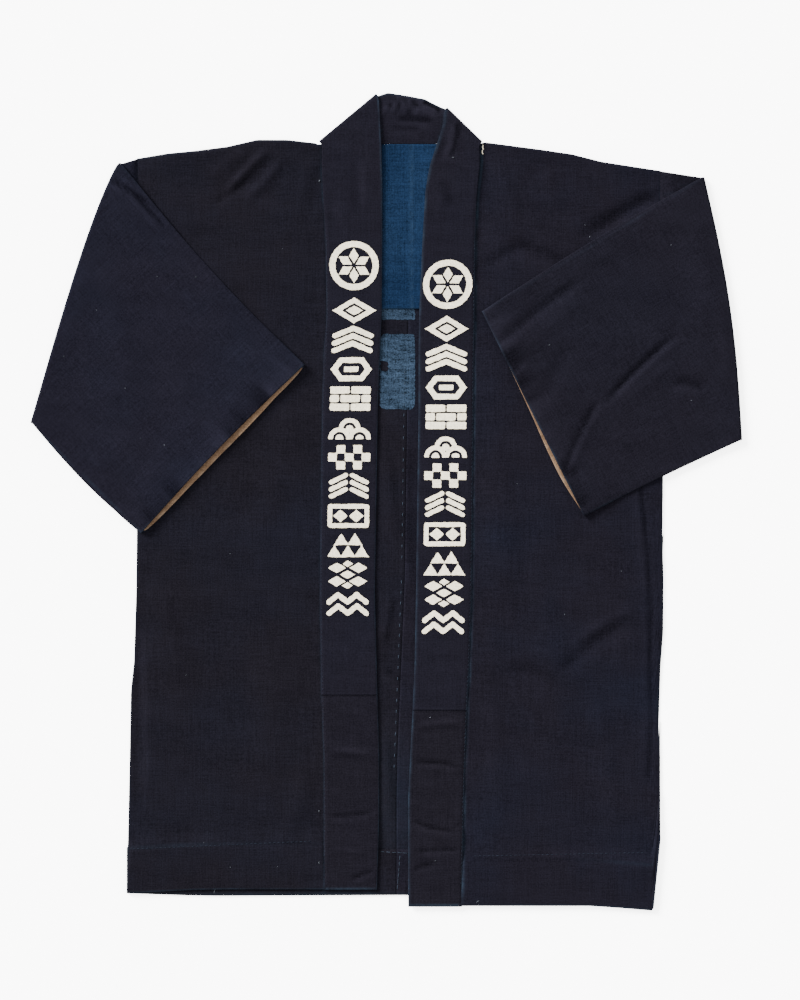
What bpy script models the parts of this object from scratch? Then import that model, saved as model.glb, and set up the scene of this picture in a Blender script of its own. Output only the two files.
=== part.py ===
"""A happi coat of indigo cotton, laid flat with its front up and its sleeves folded over it.

Metres, +Z up, +Y towards the neck. The origin is under the middle of the coat, on the
surface it lies on. Left and right are as seen from above.

Each piece is the cloth that a maker cuts: an open sheet of rows of points, given its wall
by Solidify. A row crosses the piece, and the rows follow the cloth along its length, round
each fold. Heights are those of the middle of the wall.
"""

import math
from collections import namedtuple

import bmesh
import bpy
import numpy as np
from mathutils import Vector

CLOTH = 0.0010  # wall of a single cloth
BAND = 0.0022  # wall of the collar, which is folded double over its turnings
GAP = 0.0003  # clearance at a seam and between layers
HEM_DEPTH = 0.052  # cloth turned up inside at the hems
FACING_DEPTH = 0.028  # depth of the strip inside each cuff
NECK_Y = 0.4106  # seam of the back neck
TURN_STEPS = 4  # facets round a fold

LAYER = CLOTH + GAP  # rise from one layer of cloth to the next
FLOOR_CLOTH = CLOTH / 2  # the cloth that lies on the surface
SECOND, THIRD, FOURTH, SIXTH = (FLOOR_CLOTH + n * LAYER for n in (1, 2, 3, 5))
BAND_ON_CLOTH = CLOTH + GAP + BAND / 2
BAND_ON_TWO = CLOTH + GAP + LAYER + BAND / 2

Edge = namedtuple("Edge", "y x")  # a point of an edge that runs up the coat
Line = namedtuple("Line", "x y")  # a point of a line that crosses it
Half = namedtuple("Half", "outer seam shoulder front_hem back_hem crown")
Ruling = namedtuple("Ruling", "seam_x seam_y edge_x edge_y height")
Sleeve = namedtuple("Sleeve", "armhole fold cuff bows lip lip_peak")
Bows = namedtuple("Bows", "fold top bottom cuff")
Rise = namedtuple("Rise", "along front back")

CENTRE_BACK = (
    Edge(-0.454, 0.0115),
    Edge(-0.313, 0.0115),
    Edge(-0.088, 0.0210),
    Edge(0.412, 0.0280),
)

LEFT_HALF = Half(
    outer=(
        Edge(-0.4505, -0.2985),
        Edge(-0.2860, -0.2950),
        Edge(-0.2170, -0.2938),
        Edge(-0.1830, -0.2900),
        Edge(-0.0800, -0.2870),
        Edge(0.3935, -0.2870),
    ),
    seam=(
        Edge(-0.4455, -0.0720),
        Edge(-0.2900, -0.0720),
        Edge(-0.2230, -0.0750),
        Edge(-0.1050, -0.0765),
        Edge(0.1100, -0.0740),
        Edge(0.1720, -0.0718),
        Edge(0.2130, -0.0685),
        Edge(0.3000, -0.0700),
        Edge(0.3500, -0.0735),
        Edge(0.3830, -0.0755),
        Edge(0.4110, -0.0790),
    ),
    shoulder=(
        Line(-0.2870, 0.3935),
        Line(-0.2500, 0.3995),
        Line(-0.1900, 0.4050),
        Line(-0.1650, 0.4120),
        Line(-0.1340, 0.4175),
        Line(-0.1000, 0.4130),
        Line(-0.0790, 0.4110),
    ),
    front_hem=(Line(-0.2985, -0.4500), Line(-0.2100, -0.4455), Line(-0.0720, -0.4455)),
    back_hem=(Line(-0.2985, -0.4505), Line(-0.2100, -0.4535), Line(0.0115, -0.4525)),
    crown=0.0030,
)

RIGHT_HALF = Half(
    outer=(
        Edge(-0.4700, 0.3065),
        Edge(-0.3900, 0.3145),
        Edge(-0.2860, 0.3145),
        Edge(-0.2400, 0.3112),
        Edge(-0.1500, 0.3180),
        Edge(-0.0800, 0.3185),
        Edge(-0.0400, 0.3170),
        Edge(-0.0100, 0.3150),
        Edge(0.0300, 0.3180),
        Edge(0.0850, 0.3150),
        Edge(0.3795, 0.3150),
    ),
    seam=(
        Edge(-0.4645, 0.0865),
        Edge(-0.3400, 0.0890),
        Edge(-0.2900, 0.0905),
        Edge(-0.2405, 0.0925),
        Edge(-0.1850, 0.0955),
        Edge(-0.1050, 0.0980),
        Edge(0.1100, 0.1000),
        Edge(0.2130, 0.1010),
        Edge(0.3000, 0.1020),
        Edge(0.3450, 0.1040),
        Edge(0.3860, 0.1085),
        Edge(0.4125, 0.1118),
    ),
    shoulder=(
        Line(0.1120, 0.4125),
        Line(0.1590, 0.4060),
        Line(0.1940, 0.4015),
        Line(0.2280, 0.3960),
        Line(0.2455, 0.3900),
        Line(0.2970, 0.3820),
        Line(0.3150, 0.3795),
    ),
    front_hem=(
        Line(0.0865, -0.4645),
        Line(0.2570, -0.4645),
        Line(0.2700, -0.4670),
        Line(0.3065, -0.4700),
    ),
    back_hem=(Line(0.0115, -0.4525), Line(0.3080, -0.4535)),
    crown=0.0020,
)

# The collar's rulings, each from the sewn edge to the free edge. The straight stretches are
# read off these by their own height up the coat.
LEFT_BAND = (
    Ruling(-0.0720, -0.4465, -0.0110, -0.4470, BAND_ON_TWO),
    Ruling(-0.0720, -0.3980, -0.0095, -0.3980, BAND_ON_TWO),
    Ruling(-0.0720, -0.3600, -0.0085, -0.3600, BAND_ON_CLOTH),
    Ruling(-0.0720, -0.2900, -0.0085, -0.2900, BAND_ON_CLOTH),
    Ruling(-0.0750, -0.2230, -0.0105, -0.2230, BAND_ON_CLOTH),
    Ruling(-0.0765, -0.1050, -0.0135, -0.1050, BAND_ON_CLOTH),
    Ruling(-0.0740, 0.1100, -0.0100, 0.1100, BAND_ON_CLOTH),
    Ruling(-0.0718, 0.1720, -0.0075, 0.1720, BAND_ON_CLOTH),
    Ruling(-0.0685, 0.2130, -0.0055, 0.2130, BAND_ON_TWO),
    Ruling(-0.0700, 0.3000, -0.0050, 0.3000, BAND_ON_TWO),
)
RIGHT_BAND = (
    Ruling(0.0865, -0.4655, 0.0250, -0.4665, BAND_ON_TWO),
    Ruling(0.0877, -0.3980, 0.0250, -0.3980, BAND_ON_TWO),
    Ruling(0.0886, -0.3600, 0.0250, -0.3600, BAND_ON_CLOTH),
    Ruling(0.0890, -0.3400, 0.0250, -0.3400, BAND_ON_CLOTH),
    Ruling(0.0905, -0.2900, 0.0275, -0.2900, BAND_ON_CLOTH),
    Ruling(0.0925, -0.2405, 0.0300, -0.2405, BAND_ON_CLOTH),
    Ruling(0.0955, -0.1850, 0.0325, -0.1850, BAND_ON_CLOTH),
    Ruling(0.0980, -0.1050, 0.0340, -0.1050, BAND_ON_CLOTH),
    Ruling(0.1000, 0.1100, 0.0370, 0.1100, BAND_ON_CLOTH),
    Ruling(0.1006, 0.1720, 0.0370, 0.1720, BAND_ON_CLOTH),
    Ruling(0.1010, 0.2130, 0.0375, 0.2130, BAND_ON_TWO),
    Ruling(0.1020, 0.3000, 0.0415, 0.3000, BAND_ON_TWO),
)
LEFT_PIECING_Y = -0.223
RIGHT_PIECING_Y = -0.2405

# Round the neck the rulings lean over to the two folds, where the band turns to the back.
LEFT_NECK = (
    Ruling(-0.0735, 0.3500, -0.0056, 0.3620, BAND_ON_TWO),
    Ruling(-0.0755, 0.3830, -0.0072, 0.4110, BAND_ON_TWO + 0.0005),
)
LEFT_FOLD = Ruling(-0.0776, 0.4138, -0.0121, 0.4682, BAND / 2)
BACK_NECK = (
    Ruling(-0.0450, NECK_Y, 0.0020, 0.4700, BAND / 2),
    Ruling(0.0150, NECK_Y, 0.0240, 0.4665, BAND / 2),
    Ruling(0.0600, NECK_Y, 0.0450, 0.4625, BAND / 2),
)
RIGHT_FOLD = Ruling(0.1100, 0.4134, 0.0698, 0.4524, BAND / 2)
RIGHT_NECK = (
    Ruling(0.1088, 0.3990, 0.0668, 0.4325, BAND_ON_TWO + 0.0008),
    Ruling(0.1085, 0.3860, 0.0590, 0.4110, BAND_ON_TWO + 0.0005),
    Ruling(0.1060, 0.3645, 0.0500, 0.3830, BAND_ON_TWO),
    Ruling(0.1040, 0.3450, 0.0455, 0.3570, BAND_ON_TWO),
)
NECK_ROLL = 0.0018  # radius of the collar's two folds, at the middle of its wall
BAND_SPANS = 4

LINING_LEFT, LINING_RIGHT = -0.058, 0.094
LINING_BOTTOM = 0.2211
LINING_SPANS = 4

# A sleeve's corners are those of its outline: the top and the bottom of its armhole, of the
# fold across it, and of its cuff. A bow is how far an edge swells out of its straight line.
# The lip is how far the cuff's lower cloth reaches past its upper cloth, and its peak is the
# place of the most of it, from the top of the cuff (0) to the bottom (1).
LEFT_SLEEVE = Sleeve(
    armhole=(Vector((-0.2873, 0.3935)), Vector((-0.2873, 0.1025))),
    fold=(Vector((-0.3075, 0.3900)), Vector((-0.4100, 0.0900))),
    cuff=(Vector((-0.0945, 0.1560)), Vector((-0.2810, -0.0360))),
    bows=Bows(fold=0.0066, top=-0.0060, bottom=0.0058, cuff=-0.0040),
    lip=0.0085,
    lip_peak=0.55,
)
RIGHT_SLEEVE = Sleeve(
    armhole=(Vector((0.3153, 0.3795)), Vector((0.3153, 0.0850))),
    fold=(Vector((0.3655, 0.3735)), Vector((0.4095, 0.0700))),
    cuff=(Vector((0.1100, 0.2170)), Vector((0.2260, -0.0160))),
    bows=Bows(fold=0.0080, top=0.0040, bottom=-0.0010, cuff=0.0005),
    lip=0.0062,
    lip_peak=0.80,
)
FOLD_ROLL = 0.0032  # height of the middle of the fold across a sleeve
DROOP = 0.0016  # the folded-over sleeve sinks this far where nothing lies under it
DROOP_FROM, DROOP_TO = 0.014, 0.045  # and does so this far out from what bears it
# The heights of the sleeve's own front and back cloth on the way from the fold (0) to the
# cuff (1): once it is folded over, the front cloth is the lower one.
SLEEVE_RISES = (
    Rise(0.14, THIRD + 0.0004, FOURTH + 0.0005),
    Rise(0.30, THIRD, FOURTH),
    Rise(0.50, THIRD, FOURTH),
    Rise(0.68, THIRD, FOURTH + 0.0003),
    Rise(0.84, THIRD, SIXTH),
    Rise(1.00, THIRD, SIXTH),
)
SLEEVE_SPANS = 8

INDIGO = (0.013, 0.013, 0.022, 1.0)
COLLAR_INDIGO = (0.013, 0.013, 0.019, 1.0)
LINING_BLUE = (0.012, 0.040, 0.093, 1.0)
FACING_BROWN = (0.26, 0.13, 0.055, 1.0)
CLOTH_ROUGHNESS = 0.9


def clear_scene():
    for item in list(bpy.data.objects):
        bpy.data.objects.remove(item, do_unlink=True)


def cotton(name, colour):
    material = bpy.data.materials.new(name)
    material.use_nodes = True
    shader = material.node_tree.nodes["Principled BSDF"]
    shader.inputs["Base Color"].default_value = colour
    shader.inputs["Roughness"].default_value = CLOTH_ROUGHNESS
    shader.inputs["Metallic"].default_value = 0.0
    return material


def read(points, at):
    """The value at one place along a table of edge or line points."""
    ordered = sorted(points)
    return float(np.interp(at, [p[0] for p in ordered], [p[1] for p in ordered]))


def smooth(share):
    share = min(max(share, 0.0), 1.0)
    return share * share * (3 - 2 * share)


def half_turn(start, end, outward):
    """Rows round a fold, between two rows that lie above each other."""
    rows = []
    for step in range(1, TURN_STEPS):
        angle = math.pi * step / TURN_STEPS
        rows.append(
            [
                (p + q) / 2
                + (p - q) / 2 * math.cos(angle)
                + outward * (p - q).length / 2 * math.sin(angle)
                for p, q in zip(start, end)
            ]
        )
    return rows


def at_height(row, height):
    return [Vector((p.x, p.y, height)) for p in row]


def cloth(name, rows, wall, material, collection, tube=False):
    """One piece of cloth: the sheet through its rows, with the wall half on each side."""
    mesh = bpy.data.meshes.new(name)
    bm = bmesh.new()
    grid = [[bm.verts.new(p) if p is not None else None for p in row] for row in rows]
    for lower, upper in zip(grid, grid[1:]):
        columns = range(len(lower) if tube else len(lower) - 1)
        for i in columns:
            j = (i + 1) % len(lower)
            corners = (lower[i], lower[j], upper[j], upper[i])
            if None not in corners:
                bm.faces.new(corners)
    bmesh.ops.recalc_face_normals(bm, faces=bm.faces)
    bm.to_mesh(mesh)
    bm.free()
    mesh.materials.append(material)
    piece = bpy.data.objects.new(name, mesh)
    collection.objects.link(piece)
    shell = piece.modifiers.new("wall", "SOLIDIFY")
    shell.thickness = wall
    shell.offset = 0.0
    shell.use_even_offset = True
    return piece


# --- the two lengths of the body ---------------------------------------------------------

FRONT_COLUMNS = 7  # points across the front, from the side to the collar
NECK_COLUMNS = 4  # more points across the back, from the shoulder's end to the centre
SHARED_ROWS = (-0.380, -0.360, -0.340, -0.290, -0.2405, -0.223, -0.185, -0.105, -0.040)
UPPER_ROWS = (0.030, 0.085, 0.110, 0.172, 0.213, 0.255, 0.300, 0.345, 0.350)
BELOW_SHOULDER = 0.028  # the last row before the shoulder fold
HEM_RISE_FROM = -0.362  # above this the front lies on the back alone
HEM_RISE_TO = -0.390  # below this it lies on both turned-up hems
CROWN_REACH = 0.030  # how far the roundness of the shoulder fold reaches down the front
BACK_ROWS = (0.350, 0.300, 0.213, 0.085, 0.030, -0.010, -0.040, -0.088)
LOWER_BACK_ROWS = (-0.150, -0.183, -0.217, -0.240, -0.286, -0.340, -0.390)


def front_height(half, x, y):
    """The front lies on the back, over both hems at the bottom, and crowns at the shoulder."""
    over_hems = smooth((HEM_RISE_FROM - y) / (HEM_RISE_FROM - HEM_RISE_TO))
    ends = sorted((half.shoulder[0].x, half.shoulder[-1].x))
    across = (x - ends[0]) / (ends[1] - ends[0])
    swell = math.sin(math.pi * min(max(across, 0.0), 1.0))
    near_fold = smooth((y - read(half.shoulder, x) + CROWN_REACH) / CROWN_REACH)
    return SECOND + 2 * LAYER * over_hems + half.crown * swell * near_fold


def front_row(half, y_of, height=None):
    """One row across the front. y_of gives how far up the coat it is at each place across."""
    row = []
    for column in range(FRONT_COLUMNS):
        share = column / (FRONT_COLUMNS - 1)
        y = y_of(half.outer[-1].x * (1 - share) + half.seam[-1].x * share)
        outer = read(half.outer, y)
        inner = read(half.seam, y) + math.copysign(GAP, outer)
        x = outer + (inner - outer) * share
        y = y_of(x)
        row.append(Vector((x, y, front_height(half, x, y) if height is None else height)))
    return row


def back_row(half, shares, y_of):
    """One row across the back, with its points at these shares of its width."""
    row = []
    for share in shares:
        y = y_of(half.outer[-1].x * (1 - share) + CENTRE_BACK[-1].x * share)
        outer = read(half.outer, y)
        inner = read(CENTRE_BACK, y) + math.copysign(GAP / 2, outer)
        x = outer + (inner - outer) * share
        row.append(Vector((x, y_of(x), FLOOR_CLOTH)))
    return row


def body_half(name, half, material, collection):
    """Front hem turn, front, shoulder fold, back and back hem turn, as one length of cloth."""
    down, up = Vector((0, -1, 0)), Vector((0, 1, 0))
    roll = LAYER / 2 + CLOTH / 2
    hem = front_row(half, lambda x: read(half.front_hem, x) + roll)
    under_hem = at_height(hem, THIRD)
    turned = front_row(half, lambda x: read(half.front_hem, x) + HEM_DEPTH, THIRD)
    rows = [turned, under_hem]
    rows += half_turn(under_hem, hem, down)
    rows.append(hem)
    rows.append(front_row(half, lambda x: read(half.front_hem, x) + HEM_DEPTH))
    rows += [front_row(half, lambda x, y=y: y) for y in SHARED_ROWS + UPPER_ROWS]

    rows.append(front_row(half, lambda x: read(half.shoulder, x) - BELOW_SHOULDER))

    shoulder = front_row(half, lambda x: read(half.shoulder, x))
    shoulder = [p - up * ((p.z - FLOOR_CLOTH) / 2 + CLOTH / 2) for p in shoulder]
    under_shoulder = at_height(shoulder, FLOOR_CLOTH)
    rows.append(shoulder)
    rows += half_turn(shoulder, under_shoulder, up)
    rows = [row + [None] * NECK_COLUMNS for row in rows]

    outer = read(half.outer, shoulder[0].y)
    centre = read(CENTRE_BACK, NECK_Y) + math.copysign(GAP / 2, outer)
    shares = [(p.x - outer) / (centre - outer) for p in shoulder]
    last = shares[-1]
    shares += [last + (1 - last) * n / NECK_COLUMNS for n in range(1, NECK_COLUMNS + 1)]
    neckline = back_row(half, shares, lambda x: NECK_Y - GAP / 2)[FRONT_COLUMNS:]
    rows.append(under_shoulder + neckline)
    rows += [back_row(half, shares, lambda x, y=y: y) for y in BACK_ROWS + LOWER_BACK_ROWS]

    hem = back_row(half, shares, lambda x: read(half.back_hem, x) + roll)
    over_hem = at_height(hem, SECOND)
    turned = back_row(half, shares, lambda x: read(half.back_hem, x) + HEM_DEPTH)
    rows.append(hem)
    rows += half_turn(hem, over_hem, down)
    rows += [over_hem, at_height(turned, SECOND)]
    return cloth(name, rows, CLOTH, material, collection)


# --- the collar --------------------------------------------------------------------------


def ruling_row(ruling):
    """The row of points from the sewn edge of the band to its free edge."""
    sewn = Vector((ruling.seam_x, ruling.seam_y, ruling.height))
    free = Vector((ruling.edge_x, ruling.edge_y, ruling.height))
    return [sewn.lerp(free, step / BAND_SPANS) for step in range(BAND_SPANS + 1)]


def band_between(band, low, high):
    """The rulings of a straight stretch of the band from low to high up the coat."""
    ys = [ruling.seam_y for ruling in band]

    def at(y):
        columns = zip(*((r.seam_x, r.edge_x, r.height) for r in band))
        seam_x, edge_x, height = (float(np.interp(y, ys, column)) for column in columns)
        return Ruling(seam_x, y, edge_x, y, height)

    first = band[0] if low is None else at(low)
    inner = [ruling for ruling in band[1:] if first.seam_y < ruling.seam_y]
    if high is not None:
        inner = [ruling for ruling in inner if ruling.seam_y < high] + [at(high)]
    return [first] + inner


def neck_fold(fold, mirror):
    """The rows of a neck fold from the front level to the back level, and its outward way."""
    across = Vector((fold.edge_x - fold.seam_x, fold.edge_y - fold.seam_y, 0)).normalized()
    outward = Vector((-across.y, across.x, 0)) * mirror
    inset = outward * (NECK_ROLL + BAND / 2)
    back = [point - inset for point in ruling_row(fold)]
    front = at_height(back, BAND / 2 + 2 * NECK_ROLL)
    return front, half_turn(front, back, outward), back


def collar(material, collection):
    gap = GAP / 2
    left_low = band_between(LEFT_BAND, None, LEFT_PIECING_Y - gap)
    left_high = band_between(LEFT_BAND, LEFT_PIECING_Y + gap, None)
    right_low = band_between(RIGHT_BAND, None, RIGHT_PIECING_Y - gap)
    right_high = band_between(RIGHT_BAND, RIGHT_PIECING_Y + gap, None)
    for name, band in (("collar_lower_left", left_low), ("collar_lower_right", right_low)):
        cloth(name, [ruling_row(r) for r in band], BAND, material, collection)

    left_front, left_turn, left_back = neck_fold(LEFT_FOLD, 1)
    right_front, right_turn, right_back = neck_fold(RIGHT_FOLD, -1)
    rows = [ruling_row(r) for r in left_high + list(LEFT_NECK)]
    rows += [left_front] + left_turn + [left_back]
    rows += [ruling_row(r) for r in BACK_NECK]
    rows += [right_back] + right_turn[::-1] + [right_front]
    rows += [ruling_row(r) for r in list(RIGHT_NECK) + right_high[::-1]]
    cloth("collar_upper", rows, BAND, material, collection)


# --- sleeves and their cuff facings ------------------------------------------------------

STRAIGHT = Vector((0, 0))


def ring(top, bottom, back, front, bow=STRAIGHT, ahead=None, droop=None, inset=0.0):
    """A flat tube's section: its back cloth from top to bottom, then its front cloth.

    bow is the most that the section swells out of its straight line. ahead gives how far the
    front cloth reaches past the back cloth, and droop how far both sink, at each place."""
    across = (bottom - top).normalized()
    edge = inset + abs(front - back) / 2 + CLOTH / 2
    first, last = top + across * edge, bottom - across * edge
    backs, fronts = [], []
    for step in range(SLEEVE_SPANS + 1):
        share = step / SLEEVE_SPANS
        place = first.lerp(last, share) + bow * math.sin(math.pi * share)
        front_place = place + ahead(share) if ahead else place
        drop = droop(place) if droop else 0.0
        backs.append(Vector((*place, back - drop)))
        fronts.append(Vector((*front_place, front - drop)))
    across = Vector((*across, 0))
    below = [row[0] for row in half_turn(backs[-1:], fronts[-1:], across)]
    above = [row[0] for row in half_turn(fronts[:1], backs[:1], -across)]
    return backs + below + fronts[::-1] + above


def away(start, end, other):
    """The way that is square to the line from start to end, and leads away from other."""
    along = (end - start).normalized()
    square = Vector((along.y, -along.x))
    return square if square.dot(start - other) > 0 else -square


def over_section(sleeve, share):
    """The top and the bottom of the folded-over sleeve, from the fold (0) to the cuff (1)."""
    up = (sleeve.fold[0] - sleeve.fold[1]).normalized()
    swell = math.sin(math.pi * share)
    inset = away(*sleeve.fold, sleeve.cuff[0]) * (FOLD_ROLL * (1 - share))
    top = sleeve.fold[0].lerp(sleeve.cuff[0], share) + up * (sleeve.bows.top * swell)
    bottom = sleeve.fold[1].lerp(sleeve.cuff[1], share) - up * (sleeve.bows.bottom * swell)
    return top - inset, bottom - inset


def droop_of(sleeve, place):
    """How far the folded-over sleeve sinks at a place with neither sleeve nor body under it."""
    beside = abs(place.x) - abs(sleeve.armhole[1].x)
    below_edge = away(sleeve.armhole[1], sleeve.fold[1], sleeve.armhole[0])
    below = (place - sleeve.armhole[1]).dot(below_edge)
    return DROOP * smooth((min(beside, below) - DROOP_FROM) / (DROOP_TO - DROOP_FROM))


def cuff_lip(sleeve, size):
    """A function of the place across the cuff: how far the lower cloth reaches out there."""
    outward = away(*sleeve.cuff, sleeve.fold[0])
    power = math.log(0.5) / math.log(sleeve.lip_peak)
    return lambda share: outward * (size * math.sin(math.pi * share**power))


def sleeve_tube(name, sleeve, material, collection):
    """The sleeve from its armhole to its cuff, with the half turn of its fold between."""
    outward = away(*sleeve.fold, sleeve.cuff[0])
    fold_bow = outward * sleeve.bows.fold
    fold = over_section(sleeve, 0.0)
    rings = []
    for share in (0.0, 0.5, 1.0):
        top = sleeve.armhole[0].lerp(fold[0], share)
        bottom = sleeve.armhole[1].lerp(fold[1], share)
        rings.append(ring(top, bottom, FLOOR_CLOTH, SECOND, fold_bow * share))
    under = rings[-1]
    turned = [Vector((p.x, p.y, 2 * FOLD_ROLL - p.z)) for p in under]
    rings += half_turn(under, turned, Vector((*outward, 0)))
    rings.append(turned)

    cuff_bow = away(*sleeve.cuff, sleeve.fold[0]) * sleeve.bows.cuff
    for rise in SLEEVE_RISES:
        top, bottom = over_section(sleeve, rise.along)
        bow = fold_bow.lerp(cuff_bow, rise.along)
        ahead = cuff_lip(sleeve, sleeve.lip * smooth(2 * rise.along - 1))
        droop = lambda place: droop_of(sleeve, place)
        rings.append(ring(top, bottom, rise.back, rise.front, bow, ahead, droop))
    return cloth(name, rings, CLOTH, material, collection, tube=True)


def cuff_facing(name, sleeve, material, collection):
    """The strip sewn round inside the cuff, one layer in from the sleeve all round."""
    outward = away(*sleeve.cuff, sleeve.fold[0])
    bow = outward * sleeve.bows.cuff
    ahead = cuff_lip(sleeve, sleeve.lip)
    rings = []
    for depth in (FACING_DEPTH, FACING_DEPTH / 2, 2 * GAP):
        top, bottom = (corner - outward * depth for corner in sleeve.cuff)
        rings.append(ring(top, bottom, SIXTH - LAYER, THIRD + LAYER, bow, ahead, inset=LAYER + GAP))
    return cloth(name, rings, CLOTH, material, collection, tube=True)


# --- the shoulder lining -----------------------------------------------------------------


def shoulder_lining(material, collection):
    rows = []
    for y in (LINING_BOTTOM, (LINING_BOTTOM + NECK_Y) / 2, NECK_Y - GAP):
        shares = [step / LINING_SPANS for step in range(LINING_SPANS + 1)]
        rows.append([Vector((LINING_LEFT + (LINING_RIGHT - LINING_LEFT) * s, y, SECOND)) for s in shares])
    return cloth("shoulder_lining", rows, CLOTH, material, collection)


def main():
    clear_scene()
    coat = bpy.data.collections.new("happi_coat")
    bpy.context.scene.collection.children.link(coat)

    body_half("body_left", LEFT_HALF, cotton("body_left", INDIGO), coat)
    body_half("body_right", RIGHT_HALF, cotton("body_right", INDIGO), coat)
    sleeve_tube("sleeve_left", LEFT_SLEEVE, cotton("sleeve_left", INDIGO), coat)
    sleeve_tube("sleeve_right", RIGHT_SLEEVE, cotton("sleeve_right", INDIGO), coat)
    collar(cotton("collar", COLLAR_INDIGO), coat)
    cuff_facing("cuff_facing_left", LEFT_SLEEVE, cotton("cuff_facing_left", FACING_BROWN), coat)
    cuff_facing("cuff_facing_right", RIGHT_SLEEVE, cotton("cuff_facing_right", FACING_BROWN), coat)
    shoulder_lining(cotton("shoulder_lining", LINING_BLUE), coat)


main()
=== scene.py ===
import math
from collections import namedtuple

import bpy
import numpy as np
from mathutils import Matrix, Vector


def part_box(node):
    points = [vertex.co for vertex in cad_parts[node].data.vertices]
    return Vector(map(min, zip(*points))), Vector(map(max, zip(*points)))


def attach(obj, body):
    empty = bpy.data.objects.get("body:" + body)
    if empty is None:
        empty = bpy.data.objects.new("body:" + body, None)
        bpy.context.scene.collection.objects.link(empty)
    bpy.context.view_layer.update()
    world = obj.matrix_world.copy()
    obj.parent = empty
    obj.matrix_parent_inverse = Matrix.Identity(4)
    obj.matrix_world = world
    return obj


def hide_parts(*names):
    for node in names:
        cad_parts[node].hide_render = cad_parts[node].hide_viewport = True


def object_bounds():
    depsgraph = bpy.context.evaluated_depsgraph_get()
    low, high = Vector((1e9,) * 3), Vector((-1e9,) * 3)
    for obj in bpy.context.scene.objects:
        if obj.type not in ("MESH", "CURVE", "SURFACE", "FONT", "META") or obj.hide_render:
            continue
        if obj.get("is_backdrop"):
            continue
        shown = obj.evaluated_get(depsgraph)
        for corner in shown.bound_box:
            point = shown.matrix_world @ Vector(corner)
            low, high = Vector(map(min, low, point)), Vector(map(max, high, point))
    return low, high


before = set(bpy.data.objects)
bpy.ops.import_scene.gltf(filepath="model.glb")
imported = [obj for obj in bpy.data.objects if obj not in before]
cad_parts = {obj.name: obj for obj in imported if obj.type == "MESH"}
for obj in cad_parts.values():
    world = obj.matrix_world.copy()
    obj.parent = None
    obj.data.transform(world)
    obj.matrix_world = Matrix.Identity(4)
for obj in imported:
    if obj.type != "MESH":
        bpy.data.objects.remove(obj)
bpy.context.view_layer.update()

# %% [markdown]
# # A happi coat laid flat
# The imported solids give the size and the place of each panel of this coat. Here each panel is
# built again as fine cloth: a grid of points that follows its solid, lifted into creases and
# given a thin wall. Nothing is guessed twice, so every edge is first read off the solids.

X, Y, Z = 0, 1, 2
BANDS = ("collar_upper", "collar_lower_left", "collar_lower_right")

# %% [markdown]
# ## Reading the solids
# A solid is a set of edges in space. Where a plane cuts those edges, the outermost cuts are the
# panel's outline at that place. One function does this for any piece, which is simpler than
# keeping a second list of sizes that could go out of step with the first.

# %% Cutting the solids with planes


def wires(name):
    """The two ends of every edge of a CAD node."""
    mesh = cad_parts[name].data
    points = np.empty(3 * len(mesh.vertices), np.float32)
    mesh.vertices.foreach_get("co", points)
    ends = np.empty(2 * len(mesh.edges), np.int32)
    mesh.edges.foreach_get("vertices", ends)
    points, ends = points.reshape(-1, 3).astype(float), ends.reshape(-1, 2)
    return points[ends[:, 0]], points[ends[:, 1]]


WIRES = {name: wires(name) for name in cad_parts}
print(sum(len(start) for start, _ in WIRES.values()), "edges in", len(WIRES), "solids")


def cut(names, axis, at, low=-1.0, high=1.0):
    """The points where the plane axis = at cuts these nodes, between two heights."""
    hits = []
    for name in names:
        start, end = WIRES[name]
        before, after = start[:, axis] - at, end[:, axis] - at
        crossed = (before * after <= 0) & (before != after)
        share = (before[crossed] / (before - after)[crossed])[:, None]
        hits.append(start[crossed] * (1 - share) + end[crossed] * share)
    hits = np.concatenate(hits)
    return hits[(hits[:, Z] >= low) & (hits[:, Z] <= high)]


# %% Outlines as tables

Table = namedtuple("Table", "at value")


def outline(names, axis, first, last, want, side, low=-1.0, high=1.0, count=90, keep=None):
    """The outermost value along the axis want, at many places along axis."""
    places, values = [], []
    for at in np.linspace(first, last, count):
        hits = cut(names, axis, at, low, high)
        if keep is not None:
            hits = hits[keep(hits)]
        if len(hits):
            places.append(at)
            values.append(hits[:, want].max() if side > 0 else hits[:, want].min())
    return Table(np.array(places), np.array(values))


def look(table, at):
    """The value of an outline at a place between its points."""
    return np.interp(at, table.at, table.value)


def far_corner(name, x, y, low=-1.0, high=1.0):
    """The corner of a node that lies furthest in one direction."""
    points = np.concatenate(WIRES[name])
    points = points[(points[:, Z] >= low) & (points[:, Z] <= high)]
    return points[(points[:, :2] @ np.array([x, y])).argmax(), :2]


# %% Heights of the layers
# The lining lies on the back, so its solid gives the thickness of a cloth and the step from one
# layer to the next. Each height is that of the middle of a cloth.

lining_low, lining_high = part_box("shoulder_lining")
CLOTH = lining_high.z - lining_low.z
FLOOR = CLOTH / 2
SECOND = (lining_low.z + lining_high.z) / 2
LAYER = SECOND - FLOOR
THIRD, FOURTH = (FLOOR + count * LAYER for count in (2, 3))
print("layers of cloth lie at", [round(1000 * z, 2) for z in (FLOOR, SECOND, THIRD, FOURTH)], "mm")

# %% [markdown]
# ## Shapes that cloth takes
# Old cotton that was folded away and laid out again is never quite flat. Three things are laid
# over each other here: a slow unevenness, small puckers along the seams, and the creases that
# can be named one by one. Each crease has its own two ends, width, height and bend. Placing
# them one by one keeps them where they belong, which a simulation would not.

# %% Soft steps and uneven ground


def smooth(share):
    """A soft step: 0 up to a share of 0, 1 from a share of 1."""
    share = np.clip(share, 0.0, 1.0)
    return share * share * (3 - 2 * share)


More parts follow.
